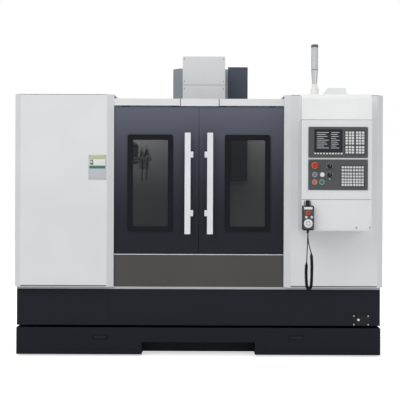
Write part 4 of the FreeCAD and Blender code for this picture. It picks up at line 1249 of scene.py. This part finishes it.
@dataclass
class OperatorBox:
    """The operator box: housing, hood, service cover, controller unit and machine panel.

    Attributes:
        repeat: copies small pieces to many places.
        face: Y of the controller unit's front, found when the box is built.
    """

    repeat: Repeater = field(default_factory=Repeater)
    face: float = 0.0

    def build(self) -> None:
        """Finish the housing and units, and add keys, ticks, seams and screws."""
        finish_nodes(
            ("operator_box", Palette.WHITE, 1.2),
            ("operator_hood", Palette.WHITE_HOOD, 2.5, 3),
            ("service_cover", Palette.WHITE, 1.6),
            ("controller_unit", Palette.UNIT, 1.2),
            ("machine_panel", Palette.UNIT, 1),
            ("screen", Palette.SCREEN),
        )
        self.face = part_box("controller_unit")[0].y
        self.add_unit_screws()
        self.add_controller_keys()
        self.add_machine_keys()
        self.add_screen()
        self.add_controls()
        self.add_seams()

    def add_unit_screws(self) -> None:
        """Four screws in the corners of each unit."""
        places = []
        for node in ("controller_unit", "machine_panel"):
            low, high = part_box(node)
            for x in (low.x + 0.006, high.x - 0.006):
                places += [(x, self.face, z) for z in (low.z + 0.006, high.z - 0.006)]
        self.repeat.copy("unit_screws", Palette.ZINC, places, screw_head(0.0032))

    @staticmethod
    def key_shape(width: float, height: float, reach: float) -> Callable[[Piece], object]:
        """A function that draws one dished key cap.

        Args:
            width, height: of the cap.
            reach: how far it stands out.

        Returns:
            A function that draws it.
        """

        def draw(piece: Piece) -> object:
            """Draw it about the origin."""
            return piece.block((-width / 2, -reach, -height / 2), (width / 2, 0.001, height / 2), 0.0014, 3)

        return draw

    def add_keys(self, name: str, finish: Palette, places: list[Point], width: float, height: float) -> None:
        """One run of keys, with a small plain mark on each.

        Args:
            name: name of the piece.
            finish: the caps' finish.
            places: the keys' middles.
            width, height: of each cap.
        """
        self.repeat.copy(name, finish, places, self.key_shape(width, height, 0.003))
        marks = [(x, y - 0.00315, z + height * 0.08) for x, y, z in places]

        def draw(piece: Piece) -> object:
            """Draw it about the origin."""
            reach = (width * 0.22, 0.0002, height * 0.09)
            return piece.block(tuple(-value for value in reach), reach)

        self.repeat.copy(name + "_marks", Palette.MARK, marks, draw)

    def add_controller_keys(self) -> None:
        """The controller's keypad and its row of softkeys, in place of the plain key sheet."""
        y = self.face + 0.001
        base = Piece("controller_key_sheet", Palette.UNIT_INSET)
        base.block((1.0222, y, 1.4732), (1.1678, y + 0.0015, 1.6398), 0.0007)
        base.block((0.8082, y, 1.4702), (1.0098, y + 0.0015, 1.4858), 0.0007)
        sheet = base.make()
        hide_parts("controller_keys")
        columns = (1.037, 1.060, 1.081, 1.110, 1.131, 1.152)
        rows = (1.6255, 1.606, 1.587, 1.568, 1.549, 1.524, 1.505, 1.486)
        self.add_keys("keypad_keys", Palette.KEY, [(x, y, z) for x in columns for z in rows], 0.0165, 0.0140)
        softkeys = [(0.817 + 0.0205 * step, y, 1.478) for step in range(10)]
        self.add_keys("soft_keys", Palette.KEY, softkeys, 0.0135, 0.0105)

    def add_machine_keys(self) -> None:
        """The machine panel's keys, in place of the plain key sheet, with a lamp in the corner of each key in
        the top four rows.
        """
        y = self.face + 0.001
        base = Piece("machine_key_sheet", Palette.UNIT_INSET)
        base.block((0.9962, y, 1.2462), (1.1628, y + 0.0015, 1.3938), 0.0007)
        sheet = base.make()
        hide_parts("machine_keys")
        columns = (1.010, 1.030, 1.050, 1.069, 1.090, 1.110, 1.129, 1.149)
        rows = (1.382, 1.361, 1.338, 1.318, 1.296, 1.277, 1.258)
        self.add_keys("panel_keys", Palette.KEY, [(x, y, z) for x in columns for z in rows], 0.0150, 0.0138)
        lamps = [(x + 0.0048, y - 0.0030, z + 0.0048) for x in columns for z in rows[:4]]
        self.repeat.copy("key_lamps", Palette.MARK, lamps, flat_dot(0.0011, -0.0005))

    def add_screen(self) -> None:
        """The screen's bezel and a few plain lines of light, with no lettering."""
        low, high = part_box("screen")
        bezel = Piece("screen_bezel", Palette.BLACK)
        foot = (low.x - 0.006, self.face - 0.0012, low.z - 0.006)
        bezel.frame(foot, (high.x + 0.006, self.face + 0.003, high.z + 0.006), 0.008)
        bezel.make()
        lines = Piece("screen_lines", Palette.SCREEN_LINE)
        y = low.y - 0.0003
        for row in range(9):
            z = high.z - 0.018 - row * 0.0135
            width = (0.082, 0.064, 0.074, 0.050)[row % 4]
            lines.block((low.x + 0.012, y, z), (low.x + 0.012 + width, y + 0.0002, z + 0.0022))
            lines.block((low.x + 0.112, y, z), (low.x + 0.112 + width * 0.7, y + 0.0002, z + 0.0022))
        lines.make()

    def add_controls(self) -> None:
        """Finish the buttons, switches and stop, and draw the tick rings and bezels round them."""
        caps = {
            "grey_button": Palette.BUTTON_GREY,
            "white_button": Palette.BUTTON_WHITE,
            "orange_button": Palette.BUTTON_ORANGE,
            "green_button": Palette.BUTTON_GREEN,
        }
        for node, finish in caps.items():
            finish_node(node, finish, 1.0 * MM, 3)
            x, z = middle_of(node)
            bezel = Piece(node + "_bezel", Palette.CHROME)
            bezel.ring((x, self.face, z), 0.0145, 0.0185, -0.0034).make()
        finish_node("panel_stop", Palette.RED, 1.6 * MM, 3)
        x, z = middle_of("panel_stop")
        ring = Piece("stop_ring", Palette.YELLOW)
        ring.ring((x, self.face, z), 0.0135, 0.0240, -0.0036).make()
        for node in ("feed_switch", "speed_switch"):
            self.add_rotary(node)
        dome = [(0.0046, 0), (0.0046, -0.0015), (0.003, -0.003), (0, -0.0036)]
        lamp = Piece("power_lamp", Palette.LED_GREEN)
        lamp.turned((0.919, self.face - 0.003, 1.299), dome, "y", 24)
        lamp.make()

    def add_rotary(self, node: str) -> None:
        """One rotary switch: black knob, white pointer and a ring of ticks at two radii.

        Args:
            node: the knob's CAD node.
        """
        finish_node(node, Palette.BLACK, 1.0 * MM, 3)
        x, z = middle_of(node)
        ticks = Piece(node + "_ticks", Palette.TICK)
        for step in range(15):
            angle = math.radians(-120 + step * 240 / 14)
            out = Vector((math.sin(angle), 0, math.cos(angle)))
            reach = (0.0215, 0.0235)[step % 2]
            ticks.block(*self.tick_box(Vector((x, self.face, z)) + out * reach, 0.0011))
        ticks.make()
        pointer = Piece(node + "_pointer", Palette.TICK, node)
        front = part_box(node)[0].y
        pointer.block((x - 0.0008, front - 0.0004, z + 0.001), (x + 0.0008, front + 0.001, z + 0.0125)).make()

    @staticmethod
    def tick_box(place: Vector, size: float) -> tuple[Point, Point]:
        """The corners of one tick's small block on the panel's face."""
        reach = Vector((size, 0.0006, size))
        return tuple(place - reach), tuple(place + Vector((size, 0.0003, size)))

    def add_seams(self) -> None:
        """Dark joints under the hood and over the service cover, the one over the cover partly painted shadow
        under the box's upper part, and its slots.
        """
        low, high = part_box("operator_box")
        seams = Piece("operator_seams", Palette.GASKET)
        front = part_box("operator_hood")[0].y
        seams.block((low.x + 0.0006, front + 0.003, 1.7142), (high.x - 0.0006, front + 0.008, 1.7158))
        # seam and painted shadow: the dark line over the service cover is partly the joint and partly the
        # shade cast by the upper part, which stands further out
        seams.block((low.x + 0.002, front - 0.0004, 1.1552), (high.x - 0.002, front + 0.001, 1.1572))
        seams.make()
        cover_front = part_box("service_cover")[0].y
        dots = Piece("service_screws", Palette.BLACK)
        for x in (1.106, 1.200):
            dots.disc((x, cover_front, 0.959), 0.0045, -0.0004)
        dots.make()
        louvre = Piece("operator_louvres", Palette.GASKET)
        for step in range(9):
            z = 1.30 + step * 0.022
            foot = (high.x - 0.001, front + 0.06, z)
            louvre.block(foot, (high.x + 0.0004, front + 0.19, z + 0.006), 0.0004)
        louvre.make()


@dataclass
class SignalLamp:
    """The signal lamp on the hood: white collar, slim neck, clear ribbed taper, lens and dark cap."""

    def build(self) -> None:
        """Build the lamp's stages from the size of the solid they replace."""
        low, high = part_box("signal_lamp")
        x, y = (low.x + high.x) / 2, (low.y + high.y) / 2
        base = low.z
        top = high.z - base
        ribs = 30
        pitch = (top - 0.208) / ribs
        lens = [(0, 0.182)]
        for rib in range(ribs):
            lens += [(0.0258, 0.183 + pitch * rib), (0.0248, 0.183 + pitch * (rib + 0.5))]
        lens += [(0.0258, top - 0.024), (0, top - 0.024)]
        collar = [(0, 0.0002), (0.029, 0.0002), (0.030, 0.002), (0.030, 0.046), (0.028, 0.050)]
        collar += [(0.021, 0.054), (0.019, 0.080), (0, 0.080)]
        taper = [(0, 0.080), (0.018, 0.080), (0.019, 0.090), (0.0255, 0.178), (0.0255, 0.182), (0, 0.182)]
        dome = [(0, top - 0.020), (0.0262, top - 0.020), (0.0262, top - 0.010)]
        dome += [(0.023, top - 0.003), (0.012, top - 0.0006), (0, top - 0.0002)]
        foot = Piece("lamp_collar", Palette.LAMP_WHITE).turned((x, y, base), collar).make()
        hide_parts("signal_lamp")
        Piece("lamp_taper", Palette.LAMP_CLEAR).turned((x, y, base), taper).make()
        Piece("lamp_lens", Palette.LAMP_CLEAR).turned((x, y, base), lens).make()
        Piece("lamp_dome", Palette.LAMP_DARK).turned((x, y, base), dome).make()
        bands = Piece("lamp_bands", Palette.LAMP_DARK)
        bands.ring((x, y, base + top - 0.0242), 0.010, 0.0263, 0.0042, "z")
        bands.ring((x, y, base + 0.1795), 0.010, 0.0262, 0.004, "z")
        bands.make()


@dataclass
class Pendant:
    """The hand pendant: housing, strip, stop, selectors and handwheel."""

    repeat: Repeater = field(default_factory=Repeater)

    def build(self) -> None:
        """Finish the pendant's nodes and add its face, strip, rings, ticks and screws."""
        finish_nodes(
            ("pendant_body", Palette.BLACK, 2, 3),
            ("pendant_stop", Palette.RED, 2, 3),
            ("axis_selector", Palette.KEY, 0.8),
            ("step_selector", Palette.KEY, 0.8),
            ("handwheel", Palette.HANDLE, 1.2, 3),
            ("cord_gland", Palette.CHROME, 1),
        )
        low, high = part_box("pendant_body")
        x = (low.x + high.x) / 2
        face = low.y
        plate = Piece("pendant_face", Palette.UNIT)
        plate.block((x - 0.034, face - 0.0005, 0.950), (x + 0.034, face + 0.002, 1.083), 0.0004).make()
        strip = Piece("pendant_strip", Palette.TICK)
        strip.block((x - 0.030, face - 0.0006, 1.086), (x + 0.030, face + 0.002, 1.104), 0.0006).make()
        ring = Piece("pendant_stop_ring", Palette.YELLOW)
        ring.ring((x, face, 1.063), 0.0045, 0.0155, -0.0016).make()
        self.add_dial_ticks(x, face)
        self.add_wheel(x)
        self.add_face_screws(low, high)

    def add_dial_ticks(self, x: float, face: float) -> None:
        """Ticks round the two selectors and the graduated ring round the handwheel.

        Args:
            x: middle of the pendant.
            face: Y of its front.
        """
        ticks = Piece("pendant_ticks", Palette.TICK)
        for centre, count, spread in ((x - 0.014, 5, 75), (x + 0.024, 4, 60)):
            for step in range(count):
                angle = math.radians(-spread + 2 * spread * step / (count - 1))
                place = Vector((centre + 0.0112 * math.sin(angle), face, 1.033 + 0.0112 * math.cos(angle)))
                ticks.block(*OperatorBox.tick_box(place, 0.0006))
        ticks.make()
        scale = Piece("wheel_scale", Palette.TICK)
        for step in range(50):
            angle = 2 * math.pi * step / 50
            place = Vector((x + 0.0335 * math.cos(angle), face, 0.989 + 0.0335 * math.sin(angle)))
            scale.block(*OperatorBox.tick_box(place, 0.0008 if step % 5 == 0 else 0.0005))
        scale.make()

    def add_wheel(self, x: float) -> None:
        """The handwheel's dished face and knurled rim.

        Args:
            x: middle of the handwheel.
        """
        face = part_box("pendant_body")[0].y
        dish = Piece("wheel_dish", Palette.LABEL_GREY, "handwheel")
        dish.ring((x, face - 0.012, 0.989), 0.0075, 0.0200, -0.0006).make()
        knurl = Piece("wheel_knurl", Palette.HANDLE, "handwheel")
        for step in range(60):
            angle = 2 * math.pi * step / 60
            place = (x + 0.0290 * math.cos(angle), face - 0.0105, 0.989 + 0.0290 * math.sin(angle))
            knurl.disc(place, 0.0007, 0.009, "y")
        knurl.make()

    def add_face_screws(self, low: Vector, high: Vector) -> None:
        """Four small screws in the housing's corners."""
        places = [(px, low.y, pz) for px in (low.x + 0.007, high.x - 0.007) for pz in (0.949, 1.106)]
        self.repeat.copy("pendant_screws", Palette.ZINC, places, screw_head(0.0022))


# ---------------------------------------------------------------- inside and back


@dataclass
class Works:
    """What is inside the enclosure: table, saddle, head, spindle and tool magazine."""

    repeat: Repeater = field(default_factory=Repeater)

    def build(self) -> None:
        """Finish the inside nodes and add the head's details, the nose's fittings and rail screws."""
        finish_nodes(
            ("column", Palette.COLUMN, 6, 3),
            ("linear_rails", Palette.STEEL, 1.5),
            ("saddle", Palette.CASTING, 4),
            ("table", Palette.IRON, 1.2),
            ("head", Palette.CASTING, 6, 3),
            ("head_cover", Palette.WHITE, 1.4, 2),
            ("spindle", Palette.STEEL, 1),
            ("magazine_arm", Palette.CASTING, 3),
            ("magazine_housing", Palette.CABINET, 1),
            ("carousel", Palette.STEEL, 1),
            ("tool_holders", Palette.CHROME, 0.6),
        )
        self.add_head_details()
        self.add_nose_ring()
        self.add_rail_screws()

    def add_head_details(self) -> None:
        """Seams, screws and louvres on the head's cover."""
        low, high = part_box("head_cover")
        seams = Piece("head_seams", Palette.GASKET, "head")
        seams.block((low.x + 0.002, low.y - 0.0004, 2.06), (high.x - 0.002, low.y + 0.001, 2.062)).make()
        places = [(x, low.y, z) for x in (low.x + 0.014, high.x - 0.014) for z in (1.70, 2.03, 2.09, 2.27)]
        self.repeat.copy("head_screws", Palette.ZINC, places, screw_head(0.005), "head")
        slots = Piece("head_louvres", Palette.GASKET, "head")
        for x, sign in ((low.x, -1), (high.x, 1)):
            for step in range(8):
                z = 2.10 + step * 0.024
                slots.block((x - sign * 0.001, -0.12, z), (x + sign * 0.0004, 0.14, z + 0.007), 0.0004)
        slots.make()

    def add_nose_ring(self) -> None:
        """The spindle nose's cover ring with its six screws and coolant nozzles."""
        low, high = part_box("spindle")
        y = (low.y + high.y) / 2
        places = []
        for step in range(6):
            angle = math.radians(30 + 60 * step)
            places.append((0.071 * math.cos(angle), y + 0.071 * math.sin(angle), low.z + 0.1345))
        self.repeat.copy("nose_screws", Palette.ZINC, places, screw_head(0.005, "z", -1), "spindle")
        nozzles = Piece("coolant_nozzles", Palette.CHROME, "head")
        head_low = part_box("head")[0].z
        profile = [(0, 0), (0.011, 0), (0.011, -0.03), (0.006, -0.05), (0.006, -0.07), (0, -0.07)]
        for shift in (-0.05, 0.03):
            nozzles.turned((0.108, y + shift, head_low), profile, "z", 20)
        nozzles.make()

    def add_rail_screws(self) -> None:
        """Screws in the two long rails, at the ends that the saddle never covers."""
        low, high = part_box("saddle")
        travel = next(joint for joint in frame["joints"] if joint["name"] == "y_slide")["range_m"]
        steps = [-0.70 + 0.08 * step for step in range(14)]
        clear = [y for y in steps if not low.y + travel[0] - 0.008 < y < high.y + travel[1] + 0.008]
        places = [(x, y, 0.632) for x in (-0.3, 0.3) for y in clear]
        self.repeat.copy("rail_screws", Palette.GASKET, places, flat_dot(0.006, 0.0003, "z"))


@dataclass
class ElectricalCabinet:
    """The electrical cabinet on the back: box, door, locks, switch and filters."""

    repeat: Repeater = field(default_factory=Repeater)

    def build(self) -> None:
        """Finish the cabinet's nodes and add the locks, filters and switchgear."""
        finish_nodes(
            ("electrical_cabinet", Palette.CABINET, 1),
            ("electrical_door", Palette.CABINET, 1),
            ("main_switch", Palette.RED, 1.5),
        )
        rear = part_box("electrical_door")[1].y - 0.006
        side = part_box("electrical_door")[1].x - 0.03
        plate = Piece("switch_plate", Palette.YELLOW, "electrical_door")
        plate.ring((0.33, rear, 1.5), 0.006, 0.036, 0.0006, "y").make()
        filters = Piece("door_filters", Palette.BLACK, "electrical_door")
        for z in (0.78, 1.62):
            for step in range(9):
                foot = z + step * 0.011
                filters.block((-0.11, rear, foot), (0.11, rear + 0.0015, foot + 0.006), 0.0004)
        filters.make()
        locks = [(side, rear, z) for z in (0.82, 1.24, 1.66)]
        self.repeat.copy("door_locks", Palette.ZINC, locks, screw_head(0.011, "y", 1), "electrical_door")
        gear = Piece("switchgear", Palette.BLACK)
        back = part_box("electrical_cabinet")[0].y + 0.008
        for z in (0.86, 1.12, 1.38, 1.62):
            for step in range(9):
                x = -0.36 + step * 0.088
                gear.block((x, back, z), (x + 0.06, back + 0.07 + 0.02 * (step % 2), z + 0.12), 0.003)
            gear.block((-0.38, back, z - 0.045), (0.38, back + 0.04, z - 0.015), 0.002)
        gear.make()


def main() -> None:
    """Build every sub-assembly."""
    Studio().build()
    PendantCord().build()
    Base().build()
    Enclosure().build()
    Door(-1, "left_door").build()
    Door(1, "right_door").build()
    OperatorBox().build()
    SignalLamp().build()
    Pendant().build()
    Works().build()
    ElectricalCabinet().build()


if __name__ == "__main__":
    main()
